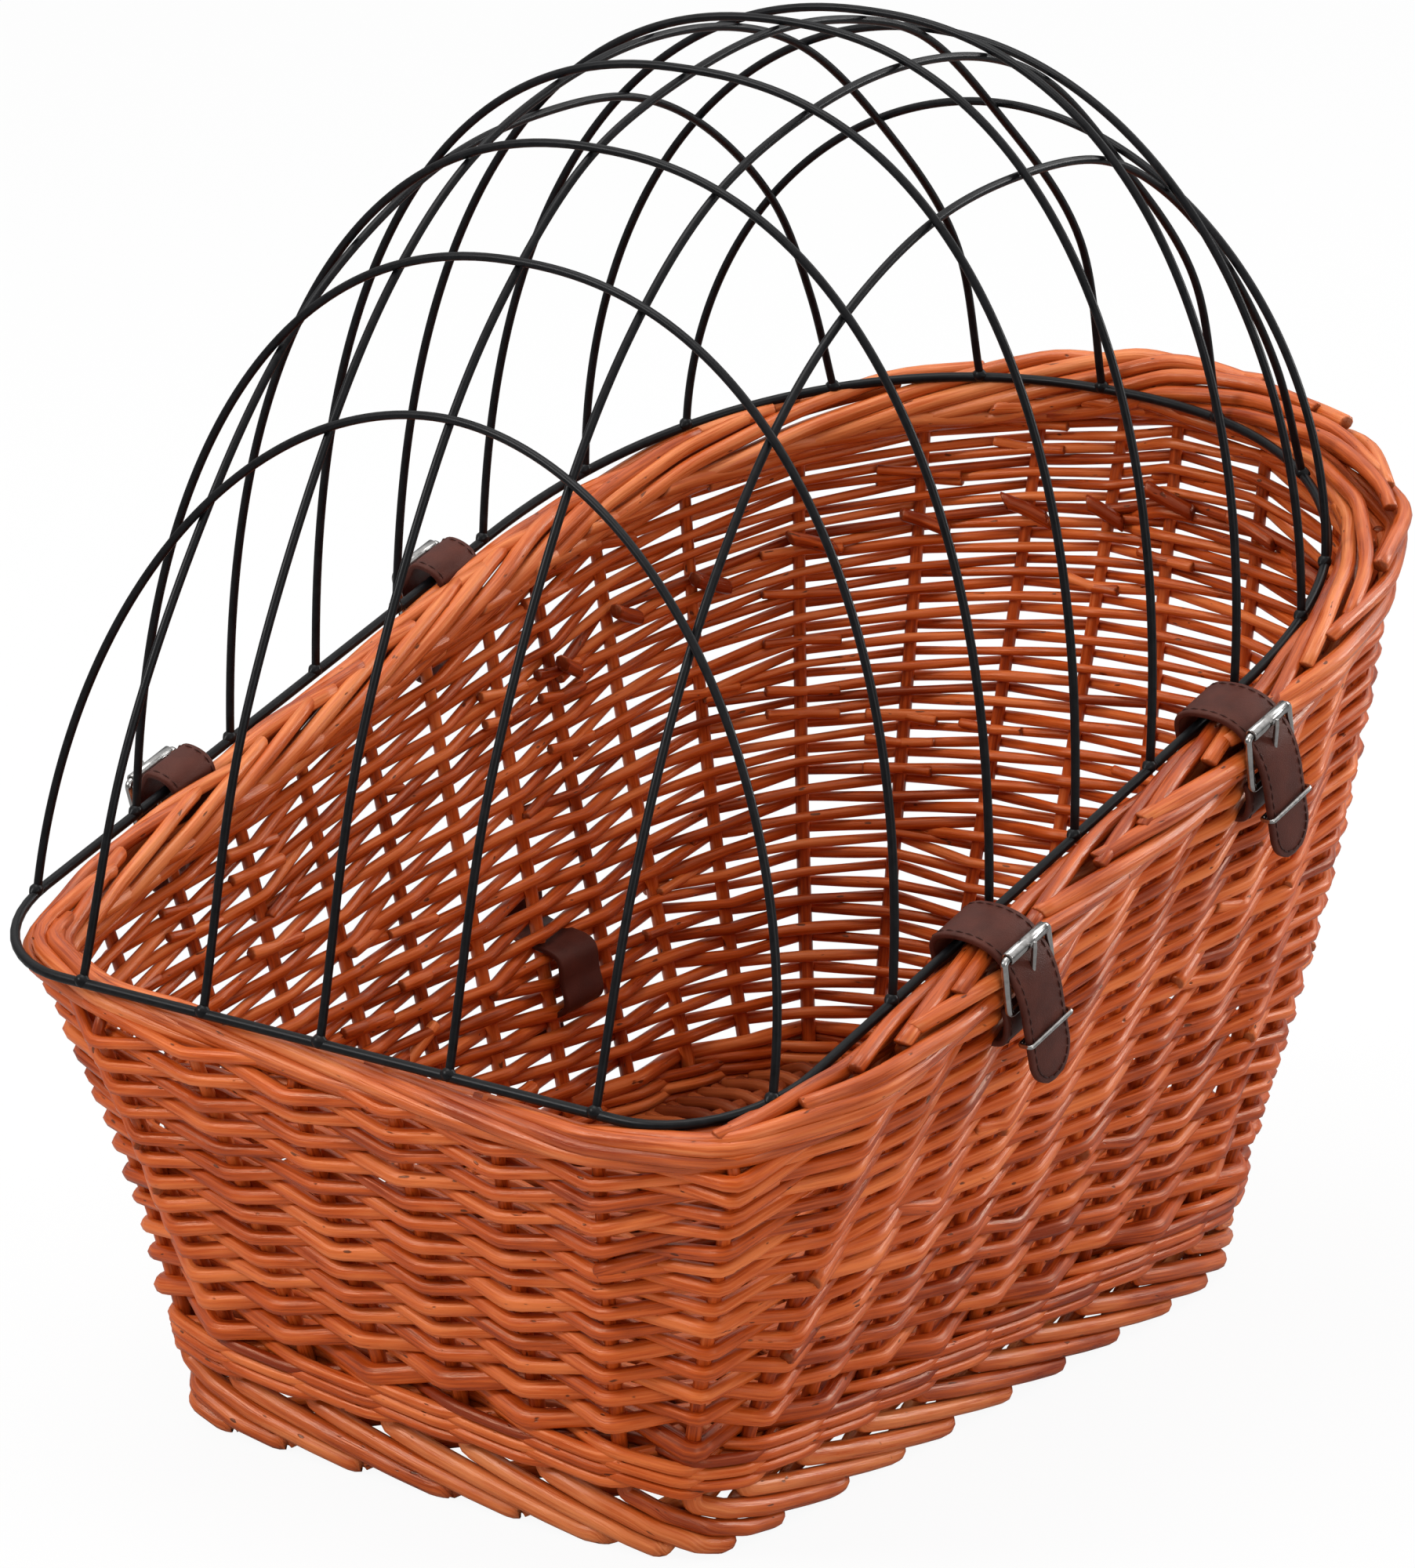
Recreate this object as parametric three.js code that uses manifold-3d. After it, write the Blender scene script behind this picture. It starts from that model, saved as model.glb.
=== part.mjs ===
// Rear bicycle basket: a woven willow body, a wire dome and four buckled leather straps.
// Millimetres. X points to the right, Y from the low front to the tall back, Z up.
// X starts at the middle of the rim wire and Y at its front until the last lines centre the part on the floor.
import * as THREE from 'three';
import { mergeVertices } from 'three/addons/utils/BufferGeometryUtils.js';
import loadManifold from 'manifold-3d';

const manifold = await loadManifold();
manifold.setup();

// Clearance between pieces that touch
const seatGap = 0.3;

// Rim wire, a flat loop that rises to the back
const rimHalfWidth = 182;
const rimLength = 516;
const rimFrontHeight = 199;
const rimTilt = THREE.MathUtils.degToRad(15.15);
const rimCornerRadius = 50;
const rimBackStart = 330;
const rimBackPower = 2.2;
const rimWireRadius = 2;

// Dome arches: transverse ones stand on the rim's sides, longitudinal ones run inside them
const archRadius = 1.7;
const archLeftPlaces = [44, 104, 162, 216, 268, 325.5, 387, 433];
const archRightPlaces = [30.5, 99.5, 161.5, 218, 269, 327.5, 384, 423];
const archLeans = [40, 17.5, 2.5, 5.5, 15, 15.5, 0, 8.5];
const archPowers = [1.94, 2.21, 2.25, 2.34, 2.28, 2.23, 2.04, 1.95];
const domeHeight = 269;
const archRiseShares = [0.788, 0.914, 0.983, 1, 0.978, 0.896, 0.782, 0.593];
const longFrontPlaces = [-121, -62, -6, 54.5, 121.5];
const longBackPlaces = [-116, -60.5, -4.5, 56.5, 115.5];
const longBows = [0.5, -2.5, 2, -1, -6];
const longFrontBulge = 26;
const longBackBulge = 18.5;

// Plaited rim border. A reach tells how far its middle lies outward of the wire: inward on the left,
// where the dome sits to the outside, and farthest out at the right of the back, where it is wider.
const borderRadius = 12.5;
const borderFrontReach = 2.6;
const borderBackReach = 13.7;
const borderSideReach = 12;
const borderFrontSkew = 4.5;
const borderBackSkew = 2.5;
const borderBackWiden = 1.5;
const borderLeastDrop = 3;
const borderSeat = 0.6;

// Woven base and walls, on the middle line of the wall
const baseHalfWidth = 122.5;
const baseShift = -5.5;
const baseFront = 64;
const baseBack = 474;
const baseCornerRadius = 18;
const baseBackStart = 345;
const baseBackPower = 3.7;
const baseFlare = 9;
const footHeight = 32;
const footThickness = 14;
const walingHeight = 14;
const walingThickness = 12;
const wallCornerDip = 4;
const wallBackBulge = 8;
const basePanelThickness = 9;

// Stakes that the walls are woven on, one in each front corner: the weave swells over each of them
const frontStakes = 7;
const otherStakes = 29;
const stakeLevel = 0.4;
const ribThickness = 15;
const hollowThickness = 8;
const wallSeat = 0.7;
const cornerPanelStakes = 1.5;
const sidePanelStakes = 8;

// Straps, across the rim wire: V is outward and W is up from the wire's centre
const strapWidth = 25;
const strapThickness = 2.6;
const strapSlack = 3.4;
const strapRise = 4;
const strapTailLength = 35;
const strapJoinRise = 8;
const strapBend = 12;
const strapSag = 15;
const strapSlotClearance = 2;
const strapTurnShare = 0.72;
const strapShoulderShare = 0.6;
const strapCrossShare = 0.7;
const stripStep = 6;
const leftStrapPlaces = [131, 300];
const rightStrapPlaces = [146.5, 310];

// Roller buckles and keepers
const buckleWidth = 29;
const buckleLength = 23;
const buckleLean = THREE.MathUtils.degToRad(3);
const buckleBarRadius = 1.5;
const buckleCornerRadius = 2.2;
const rollerWall = 0.8;
const rollerRise = 3;
const rollerReach = 2.5;
const rollerStrapGap = 1.9;
const prongWidth = 3;
const prongThickness = 2.2;
const prongEyeWall = 1.1;
const prongHolePlace = 10;
const prongHoleLength = 12.5;
const prongHoleShare = 0.9;
const strapCrossPlace = 12;
const keeperWireRadius = 1;
const keeperCornerRadius = 1.4;
const keeperDepth = 33;

// Tether strap through the left wall
const tetherPlace = 327;
const tetherHeight = 106;
const tetherSpan = 32;
const tetherEndLength = 14;
const tetherClearance = 0.5;

const willow = { color: 0xb5622f, roughness: 0.5, metalness: 0 };
const paleWillow = { color: 0xc97a45, roughness: 0.5, metalness: 0 };
const blackWire = { color: 0x18181a, roughness: 0.4, metalness: 0.3 };
const leather = { color: 0x4a261f, roughness: 0.55, metalness: 0 };
const nickel = { color: 0xb9bbbd, roughness: 0.22, metalness: 1 };

const rimUp = new THREE.Vector3(0, -Math.sin(rimTilt), Math.cos(rimTilt));
const rimHeightAt = (y) => rimFrontHeight + y * Math.tan(rimTilt);
const sideName = (side) => (side < 0 ? 'left' : 'right');

// Steps along one half of an outline, alike on every outline so that stations pair up
const frontSteps = 4;
const cornerSteps = 6;
const sideSteps = 6;
const backSteps = 18;

// One half of a basket outline from the front middle to the back middle: straight front,
// round corner, straight side and a round back
function halfOutline({ halfWidth, front, back, cornerRadius, backStart, backPower }) {
  const points = [];
  for (let i = 0; i < frontSteps; i += 1) {
    points.push(new THREE.Vector2(((halfWidth - cornerRadius) * i) / frontSteps, front));
  }
  for (let i = 0; i < cornerSteps; i += 1) {
    const angle = (Math.PI / 2) * (i / cornerSteps);
    const x = halfWidth - cornerRadius * (1 - Math.sin(angle));
    points.push(new THREE.Vector2(x, front + cornerRadius * (1 - Math.cos(angle))));
  }
  const sideStart = front + cornerRadius;
  for (let i = 0; i < sideSteps; i += 1) {
    points.push(new THREE.Vector2(halfWidth, sideStart + ((backStart - sideStart) * i) / sideSteps));
  }
  for (let i = 0; i <= backSteps; i += 1) {
    const angle = (Math.PI / 2) * (i / backSteps);
    const x = halfWidth * Math.pow(Math.max(Math.cos(angle), 0), 2 / backPower);
    points.push(new THREE.Vector2(x, backStart + (back - backStart) * Math.pow(Math.sin(angle), 2 / backPower)));
  }
  return points;
}

// The whole outline, with the outward direction in plan at each station
function outlineStations(size) {
  const half = halfOutline(size);
  const mirrored = half.slice(1, -1).reverse().map((p) => new THREE.Vector2(-p.x, p.y));
  const points = [...half, ...mirrored];
  return points.map((point, i) => {
    const before = points[(i + points.length - 1) % points.length];
    const after = points[(i + 1) % points.length];
    const along = after.clone().sub(before).normalize();
    return { point, out: new THREE.Vector2(along.y, -along.x) };
  });
}

const rimSize = {
  halfWidth: rimHalfWidth,
  front: 0,
  back: rimLength,
  cornerRadius: rimCornerRadius,
  backStart: rimBackStart,
  backPower: rimBackPower,
};
const baseSize = {
  halfWidth: baseHalfWidth,
  front: baseFront,
  back: baseBack,
  cornerRadius: baseCornerRadius,
  backStart: baseBackStart,
  backPower: baseBackPower,
};
const baseStations = outlineStations(baseSize).map(({ point, out }) => (
  { point: new THREE.Vector2(point.x + baseShift, point.y), out }
));
const borderOffset = borderRadius + rimWireRadius + borderSeat;
const rimStations = outlineStations(rimSize).map(({ point, out }) => {
  const reach = borderReachAt(out);
  return {
    centre: new THREE.Vector3(point.x, point.y, rimHeightAt(point.y)),
    out: new THREE.Vector3(out.x, out.y, out.y * Math.tan(rimTilt)).normalize(),
    reach,
    drop: borderDropAt(reach),
    halfWidth: borderRadius + 2 * borderBackWiden * Math.max(out.x, 0) * Math.max(out.y, 0),
    dip: 2 * Math.abs(out.x) * (wallCornerDip * Math.max(-out.y, 0) - wallBackBulge * Math.max(out.y, 0)),
  };
});
const stationCount = rimStations.length;

function borderReachAt(out) {
  const back = Math.max(out.y, 0);
  const front = Math.max(-out.y, 0);
  const skew = borderBackSkew * back + borderFrontSkew * front;
  return borderFrontReach * front + borderBackReach * back + (borderSideReach + 2 * skew) * out.x;
}

// How far under the wire the border's middle lies, so that the two rest on each other
function borderDropAt(reach) {
  return Math.sqrt(Math.max(borderOffset ** 2 - reach ** 2, borderLeastDrop ** 2));
}

// Half width of the rim wire at a place along Y, and the place of its back at a half width
function rimHalfWidthAt(y) {
  if (y < rimCornerRadius) {
    const drop = rimCornerRadius - y;
    return rimHalfWidth - rimCornerRadius + Math.sqrt(rimCornerRadius ** 2 - drop ** 2);
  }
  const past = Math.max(y - rimBackStart, 0) / (rimLength - rimBackStart);
  return rimHalfWidth * Math.pow(1 - Math.pow(past, rimBackPower), 1 / rimBackPower);
}

function rimBackAt(x) {
  const share = Math.pow(Math.abs(x) / rimHalfWidth, rimBackPower);
  return rimBackStart + (rimLength - rimBackStart) * Math.pow(1 - share, 1 / rimBackPower);
}

// A closed skin over equal rings of points, joined end to end or capped
function loft(rings, closed) {
  const size = rings[0].length;
  const positions = rings.flat().flatMap((p) => [p.x, p.y, p.z]);
  const index = [];
  const last = closed ? rings.length : rings.length - 1;
  for (let r = 0; r < last; r += 1) {
    const next = (r + 1) % rings.length;
    for (let i = 0; i < size; i += 1) {
      const j = (i + 1) % size;
      const corners = [r * size + i, r * size + j, next * size + j, next * size + i];
      index.push(corners[0], corners[1], corners[2], corners[0], corners[2], corners[3]);
    }
  }
  if (!closed) {
    const end = (rings.length - 1) * size;
    for (let i = 0; i < size / 2 - 1; i += 1) {
      const [a, b, c, d] = [i, i + 1, size - 2 - i, size - 1 - i];
      index.push(a, c, b, a, d, c);
      index.push(end + a, end + b, end + c, end + a, end + c, end + d);
    }
  }
  const geometry = new THREE.BufferGeometry();
  geometry.setAttribute('position', new THREE.Float32BufferAttribute(positions, 3));
  geometry.setIndex(index);
  return faceOut(geometry);
}

// Turns the faces outward where the skin was wound inside out
function faceOut(geometry) {
  const p = geometry.attributes.position;
  const index = geometry.index.array;
  const corner = (k) => new THREE.Vector3().fromBufferAttribute(p, index[k]);
  let volume = 0;
  for (let k = 0; k < index.length; k += 3) {
    volume += corner(k).dot(corner(k + 1).cross(corner(k + 2)));
  }
  if (volume < 0) {
    for (let k = 0; k < index.length; k += 3) {
      [index[k], index[k + 1]] = [index[k + 1], index[k]];
    }
  }
  return geometry;
}

function toManifold(geometry) {
  const bare = new THREE.BufferGeometry();
  bare.setAttribute('position', geometry.attributes.position);
  bare.setIndex(geometry.index);
  const merged = mergeVertices(bare, 1e-4);
  return new manifold.Manifold(new manifold.Mesh({
    numProp: 3,
    vertProperties: new Float32Array(merged.attributes.position.array),
    triVerts: new Uint32Array(merged.index.array),
  }));
}

// Cuts boxes, each given with its place, out of a solid
function cutBoxes(geometry, boxes) {
  let body = toManifold(geometry);
  boxes.forEach(({ size, matrix }) => {
    const box = new THREE.BoxGeometry(size.x, size.y, size.z).applyMatrix4(matrix);
    body = body.subtract(toManifold(box));
  });
  const mesh = body.getMesh();
  const cut = new THREE.BufferGeometry();
  cut.setAttribute('position', new THREE.Float32BufferAttribute(mesh.vertProperties, 3));
  cut.setIndex(Array.from(mesh.triVerts));
  return cut;
}

function piece(name, geometry, material) {
  const mesh = new THREE.Mesh(geometry, new THREE.MeshStandardMaterial(material));
  mesh.name = name;
  return mesh;
}

function roundShape(radius) {
  return new THREE.Shape().absarc(0, 0, radius, 0, 2 * Math.PI);
}

// A rod of round section along an open curve
function rod(curve, radius, steps) {
  return new THREE.ExtrudeGeometry(roundShape(radius), { extrudePath: curve, steps, curveSegments: 3 });
}

// A closed wire loop in the shape of a rectangle with round corners, in the XY plane
function wireLoop(halfX, halfY, cornerRadius, wireRadius, sides) {
  const corners = [[1, 1], [-1, 1], [-1, -1], [1, -1]];
  const inset = (k) => {
    const [sx, sy] = corners[k % 4];
    return new THREE.Vector3(sx * (halfX - cornerRadius), sy * (halfY - cornerRadius), 0);
  };
  const turned = (k) => {
    const angle = (Math.PI / 2) * k;
    return new THREE.Vector3(cornerRadius * Math.cos(angle), cornerRadius * Math.sin(angle), 0);
  };
  const points = [];
  for (let k = 0; k < 4; k += 1) {
    for (let i = 0; i <= 3; i += 1) {
      points.push(inset(k).add(turned(k + i / 3)));
    }
  }
  const rings = points.map((point, i) => {
    const k = Math.floor(i / 4);
    const out = turned(k + (i % 4) / 3).normalize();
    return Array.from({ length: sides }, (_, s) => {
      const angle = (2 * Math.PI * s) / sides;
      const lift = new THREE.Vector3(0, 0, wireRadius * Math.sin(angle));
      return point.clone().addScaledVector(out, wireRadius * Math.cos(angle)).add(lift);
    });
  });
  return loft(rings, true);
}

// Woven body

function borderCentre({ centre, out, reach, drop }) {
  return centre.clone().addScaledVector(out, reach).addScaledVector(rimUp, -drop);
}

// A ring of points round a rim station, the first one turned by the start angle from straight up
function rimRing({ out }, middle, halfWidth, halfHeight, sides, startAngle) {
  return Array.from({ length: sides }, (_, s) => {
    const angle = startAngle + (2 * Math.PI * s) / sides;
    return middle.clone()
      .addScaledVector(out, -halfWidth * Math.sin(angle))
      .addScaledVector(rimUp, halfHeight * Math.cos(angle));
  });
}

function rimBorder() {
  const sides = 10;
  const rings = rimStations.map((station) => {
    const startAngle = Math.atan2(station.reach, station.drop);
    return rimRing(station, borderCentre(station), station.halfWidth, borderRadius, sides, startAngle);
  });
  return loft(rings, true);
}

const walingBottom = footHeight + seatGap;
const wallBottom = walingBottom + walingHeight + seatGap;

// A point on the flared lower wall at a height, and a distance out from its middle line
function basePoint({ point, out }, z, distance) {
  const plan = point.clone().addScaledVector(out, (baseFlare * z) / wallBottom + distance);
  return new THREE.Vector3(plan.x, plan.y, z);
}

// A ring under the walls, of four-sided section on the base outline
function baseRing(bottom, height, thickness) {
  const half = thickness / 2;
  const rings = baseStations.map((station) => [
    basePoint(station, bottom, half),
    basePoint(station, bottom + height, half),
    basePoint(station, bottom + height, -half),
    basePoint(station, bottom, -half),
  ]);
  return loft(rings, true);
}

function basePanel() {
  const inset = walingThickness / 2 + seatGap;
  const outline = baseStations.map((station) => {
    const { x, y } = basePoint(station, walingBottom, -inset);
    return new THREE.Vector2(x, y);
  });
  const panel = new THREE.ExtrudeGeometry(new THREE.Shape(outline), {
    depth: basePanelThickness,
    bevelEnabled: false,
  });
  return panel.translate(0, 0, walingBottom);
}

const wallTops = rimStations.map((station) => (
  borderCentre(station).addScaledVector(rimUp, -borderRadius - wallSeat)
));
const wallFeet = baseStations.map((station) => basePoint(station, wallBottom, 0));

// The middle line of the wall at a station or between two
function wallLine(station) {
  const before = Math.floor(station) % stationCount;
  const after = (before + 1) % stationCount;
  const share = station - Math.floor(station);
  const between = (pick) => pick(before).clone().lerp(pick(after), share);
  return {
    foot: between((k) => wallFeet[k]),
    top: between((k) => wallTops[k]),
    footOut: between((k) => new THREE.Vector3(baseStations[k].out.x, baseStations[k].out.y, 0)).normalize(),
    topOut: between((k) => rimStations[k].out).normalize(),
    dip: THREE.MathUtils.lerp(rimStations[before].dip, rimStations[after].dip, share),
  };
}

// A wall section, drawn in at half height by the dip: in at the front corners and out at the round back
function wallSection({ foot, top, footOut, topOut, dip }, thickness) {
  const half = thickness / 2;
  const middleOut = topOut.clone().lerp(footOut, 0.5).normalize();
  const middle = foot.clone().lerp(top, 0.5).addScaledVector(middleOut, -dip);
  return [
    foot.clone().addScaledVector(footOut, half),
    middle.clone().addScaledVector(middleOut, half),
    top.clone().addScaledVector(topOut, half),
    top.clone().addScaledVector(topOut, -half),
    middle.clone().addScaledVector(middleOut, -half),
    foot.clone().addScaledVector(footOut, -half),
  ];
}

const stakeCount = frontStakes + otherStakes;

// A function from stakes, counted from the right front corner, to stations, at equal steps along the wall
function stakeStations() {
  const points = Array.from({ length: 2 * stationCount + 1 }, (_, i) => {
    const { foot, top } = wallLine(i % stationCount);
    return foot.lerp(top, stakeLevel);
  });
  const runs = points.map(() => 0);
  for (let i = 1; i < points.length; i += 1) {
    runs[i] = runs[i - 1] + points[i].distanceTo(points[i - 1]);
  }
  const stationAt = (run) => {
    const i = runs.findIndex((end) => end > run) - 1;
    return i + (run - runs[i]) / (runs[i + 1] - runs[i]);
  };
  const rightCorner = frontSteps + cornerSteps / 2;
  const leftCorner = stationCount - rightCorner;
  const otherStep = (runs[leftCorner] - runs[rightCorner]) / otherStakes;
  const frontStep = (runs[stationCount + rightCorner] - runs[leftCorner]) / frontStakes;
  return (stake) => {
    const past = Math.max(stake - otherStakes, 0);
    return stationAt(runs[rightCorner] + (stake - past) * otherStep + past * frontStep);
  };
}

const stationOfStake = stakeStations();

// One panel of the siding, thick over its stakes and thin between them, from one place among the stakes
// to another, shortened by half the seat gap at each end
function wallPanel(from, to) {
  const sections = [];
  for (let stake = from; stake <= to; stake += 0.5) {
    const thickness = Number.isInteger(stake) ? ribThickness : hollowThickness;
    sections.push(wallSection(wallLine(stationOfStake(stake % stakeCount)), thickness));
  }
  const shorten = (end, next) => {
    const share = seatGap / 2 / end[0].distanceTo(next[0]);
    return end.map((corner, i) => corner.clone().lerp(next[i], share));
  };
  const last = sections.length - 1;
  const first = shorten(sections[0], sections[1]);
  sections[last] = shorten(sections[last], sections[last - 1]);
  sections[0] = first;
  return loft(sections, false);
}

// Place on the left wall at a height: V outward, U along and W up the wall
function leftWallFrame(y, z) {
  const lines = [];
  for (let k = stationCount - 1; k > stationCount / 2; k -= 1) {
    const share = (z - wallFeet[k].z) / (wallTops[k].z - wallFeet[k].z);
    lines.push({ k, point: wallFeet[k].clone().lerp(wallTops[k], share) });
  }
  const firstSide = lines.findIndex(({ point }) => point.y > y);
  const before = lines[firstSide - 1];
  const after = lines[firstSide];
  const centre = before.point.clone().lerp(after.point, (y - before.point.y) / (after.point.y - before.point.y));
  const up = wallTops[after.k].clone().sub(wallFeet[after.k]).normalize();
  const out = after.point.clone().sub(before.point).cross(up).normalize().negate();
  return new THREE.Matrix4().makeBasis(out, up.clone().cross(out), up).setPosition(centre);
}

// Straps and buckles, in a frame on the rim wire: X outward, Y along the rim, Z up from it

function strapFrame(side, place) {
  const group = new THREE.Group();
  group.position.set(side * rimHalfWidth, place, rimHeightAt(place));
  group.rotation.set(rimTilt, 0, side < 0 ? Math.PI : 0);
  group.updateMatrix();
  return group;
}

const flat = (v, w) => new THREE.Vector2(v, w);
const halfLeather = strapThickness / 2;
const rollerInner = buckleBarRadius + seatGap;
const rollerOuter = rollerInner + rollerWall;
const prongEyeRadius = buckleBarRadius + seatGap + prongEyeWall;
const buckleAlong = flat(Math.sin(buckleLean), Math.cos(buckleLean));
const buckleOut = flat(Math.cos(buckleLean), -Math.sin(buckleLean));

// The places that one side's straps go by, from where the border lies under the wire there
function strapLayout(side) {
  const border = flat(side * borderSideReach, -borderDropAt(borderSideReach));
  const roller = flat(Math.max(border.x + borderRadius, strapBend) + rollerReach, rollerRise);
  const heel = roller.clone().addScaledVector(buckleAlong, -buckleLength);
  const onBuckle = (along, out) => (
    heel.clone().addScaledVector(buckleAlong, along).addScaledVector(buckleOut, out)
  );
  return {
    border,
    heel,
    underRoller: onBuckle(buckleLength, -rollerOuter - rollerStrapGap - halfLeather),
    cross: onBuckle(strapCrossPlace, strapThickness * strapCrossShare),
    prongHole: onBuckle(prongHolePlace, strapThickness * prongHoleShare),
    overHeel: onBuckle(0, prongEyeRadius + seatGap + halfLeather),
    behindHeel: onBuckle(0, -prongEyeRadius - seatGap - halfLeather),
    innerRun: -rimWireRadius - strapSlack - halfLeather,
    slotLevel: border.y - borderRadius - strapSag,
  };
}

// From inside the wall over the border and the wire, under the roller and over the heel bar
function billetPath({ border, underRoller, cross, overHeel, innerRun }, start) {
  const top = rimWireRadius + strapRise + halfLeather;
  return [
    flat(innerRun, start),
    flat(innerRun, border.y),
    flat(innerRun, rimWireRadius),
    flat(innerRun * strapTurnShare, 2.5 * rimWireRadius),
    flat(0, top),
    flat(underRoller.x * strapShoulderShare, top),
    underRoller,
    cross,
    overHeel,
    flat(overHeel.x, overHeel.y - halfLeather * 4),
    flat(overHeel.x, overHeel.y - strapTailLength),
  ];
}

// A left strap: from the heel bar down, up through the border just inside the wire, and over it
function wholePath(layout) {
  const { behindHeel, innerRun, slotLevel } = layout;
  return [
    behindHeel,
    flat(behindHeel.x, behindHeel.y - 2 * strapThickness),
    flat(rimWireRadius, slotLevel),
    flat(innerRun * strapShoulderShare, slotLevel + halfLeather),
    flat(innerRun, slotLevel + 3 * strapThickness),
    ...billetPath(layout, 0).slice(1),
  ];
}

// The lower run of a right strap: from the heel bar down, under the border and through the wall
function chapePath({ border, behindHeel, innerRun, slotLevel }, end) {
  return [
    behindHeel,
    flat(behindHeel.x, (behindHeel.y + slotLevel) / 2),
    flat(border.x + borderRadius / 2, slotLevel + halfLeather),
    flat(border.x, slotLevel),
    flat(border.x - borderRadius * strapCrossShare, slotLevel + halfLeather / 2),
    flat(innerRun + halfLeather, slotLevel + 1.5 * strapThickness),
    flat(innerRun, end - strapThickness),
    flat(innerRun, end),
  ];
}

// A leather strip along a path in the XZ plane, with a round tip at its end where asked
function strip(path, roundTip) {
  const curve = new THREE.CatmullRomCurve3(path.map((p) => new THREE.Vector3(p.x, 0, p.y)));
  const length = curve.getLength();
  const halfWidth = strapWidth / 2;
  const plain = roundTip ? length - halfWidth : length;
  const steps = Math.ceil(plain / stripStep);
  const tipSteps = 5;
  const stations = [];
  for (let i = 0; i <= steps; i += 1) {
    stations.push({ at: (plain * i) / steps, half: halfWidth });
  }
  for (let i = 1; roundTip && i <= tipSteps; i += 1) {
    const angle = (i / (tipSteps + 0.5)) * (Math.PI / 2);
    stations.push({ at: plain + halfWidth * Math.sin(angle), half: halfWidth * Math.cos(angle) });
  }
  const rings = stations.map(({ at, half }) => {
    const point = curve.getPointAt(at / length);
    const along = curve.getTangentAt(at / length);
    const face = new THREE.Vector3(along.z, 0, -along.x).multiplyScalar(halfLeather);
    const edge = new THREE.Vector3(0, half, 0);
    return [
      point.clone().add(face).add(edge),
      point.clone().add(face).sub(edge),
      point.clone().sub(face).sub(edge),
      point.clone().sub(face).add(edge),
    ];
  });
  return loft(rings, false);
}

function prongHoleCut({ prongHole }) {
  const size = new THREE.Vector3(strapThickness * 4, prongWidth + 4 * seatGap, prongHoleLength);
  const matrix = new THREE.Matrix4().makeRotationY(buckleLean);
  return { size, matrix: matrix.setPosition(prongHole.x, 0, prongHole.y) };
}

// A slot round a strap, from one level to another in its frame
function strapSlot(side, place, middle, thickness, low, high) {
  const size = new THREE.Vector3(thickness, strapWidth + 2 * seatGap, high - low);
  const local = new THREE.Matrix4().setPosition(middle, 0, (low + high) / 2);
  return { size, matrix: strapFrame(side, place).matrix.clone().multiply(local) };
}

// Right straps go through the wall. Left straps go through a notch in its top and then through the border.
function wallSlotCut(side, place) {
  const { border, slotLevel } = strapLayout(side);
  const reach = halfLeather + strapSlotClearance;
  const high = side < 0 ? border.y - borderRadius / 2 : slotLevel + reach;
  return strapSlot(side, place, 0, 3 * ribThickness, slotLevel - reach, high);
}

function borderSlotCut(place) {
  const { border, innerRun } = strapLayout(-1);
  const reach = borderRadius + seatGap;
  const thickness = strapThickness + 2 * strapSlotClearance;
  return strapSlot(-1, place, innerRun, thickness, border.y - reach, border.y + reach);
}

function prongGeometry() {
  const rise = rollerOuter + seatGap + prongThickness / 2;
  const arm = Math.asin(rise / buckleLength);
  const neck = Math.asin(prongThickness / 2 / prongEyeRadius);
  const armLength = buckleLength * Math.cos(arm) + rollerOuter;
  const armDirection = flat(Math.cos(arm), Math.sin(arm));
  const armSide = flat(-Math.sin(arm), Math.cos(arm)).multiplyScalar(prongThickness / 2);
  const tip = armDirection.multiplyScalar(armLength);
  const shape = new THREE.Shape();
  shape.absarc(0, 0, prongEyeRadius, arm + neck, arm - neck + 2 * Math.PI);
  shape.lineTo(tip.x - armSide.x, tip.y - armSide.y);
  shape.lineTo(tip.x + armSide.x, tip.y + armSide.y);
  shape.closePath();
  shape.holes.push(new THREE.Path().absarc(0, 0, buckleBarRadius + seatGap, 0, 2 * Math.PI, true));
  const prong = new THREE.ExtrudeGeometry(shape, { depth: prongWidth, bevelEnabled: false, curveSegments: 6 });
  return prong.translate(0, 0, -prongWidth / 2);
}

function rollerGeometry() {
  const half = buckleWidth / 2 - buckleCornerRadius - seatGap;
  const profile = [
    flat(rollerInner, -half),
    flat(rollerOuter, -half),
    flat(rollerOuter, half),
    flat(rollerInner, half),
    flat(rollerInner, -half),
  ];
  return new THREE.LatheGeometry(profile, 12).rotateX(Math.PI / 2);
}

// Buckle frame: X along the buckle from the heel bar to the roller, Y outward, Z along the bars
function buckleGroup(label, heel) {
  const group = new THREE.Group();
  const along = new THREE.Vector3(buckleAlong.x, 0, buckleAlong.y);
  const out = new THREE.Vector3(buckleOut.x, 0, buckleOut.y);
  const basis = new THREE.Matrix4().makeBasis(along, out, along.clone().cross(out));
  group.quaternion.setFromRotationMatrix(basis);
  group.position.set(heel.x, 0, heel.y);
  const loop = wireLoop(buckleWidth / 2, buckleLength / 2, buckleCornerRadius, buckleBarRadius, 8);
  loop.rotateX(-Math.PI / 2).rotateY(-Math.PI / 2).translate(buckleLength / 2, 0, 0);
  const roller = piece(`roller_${label}`, rollerGeometry(), nickel);
  roller.position.x = buckleLength;
  group.add(piece(`buckle_${label}`, loop, nickel), roller, piece(`prong_${label}`, prongGeometry(), nickel));
  return group;
}

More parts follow.
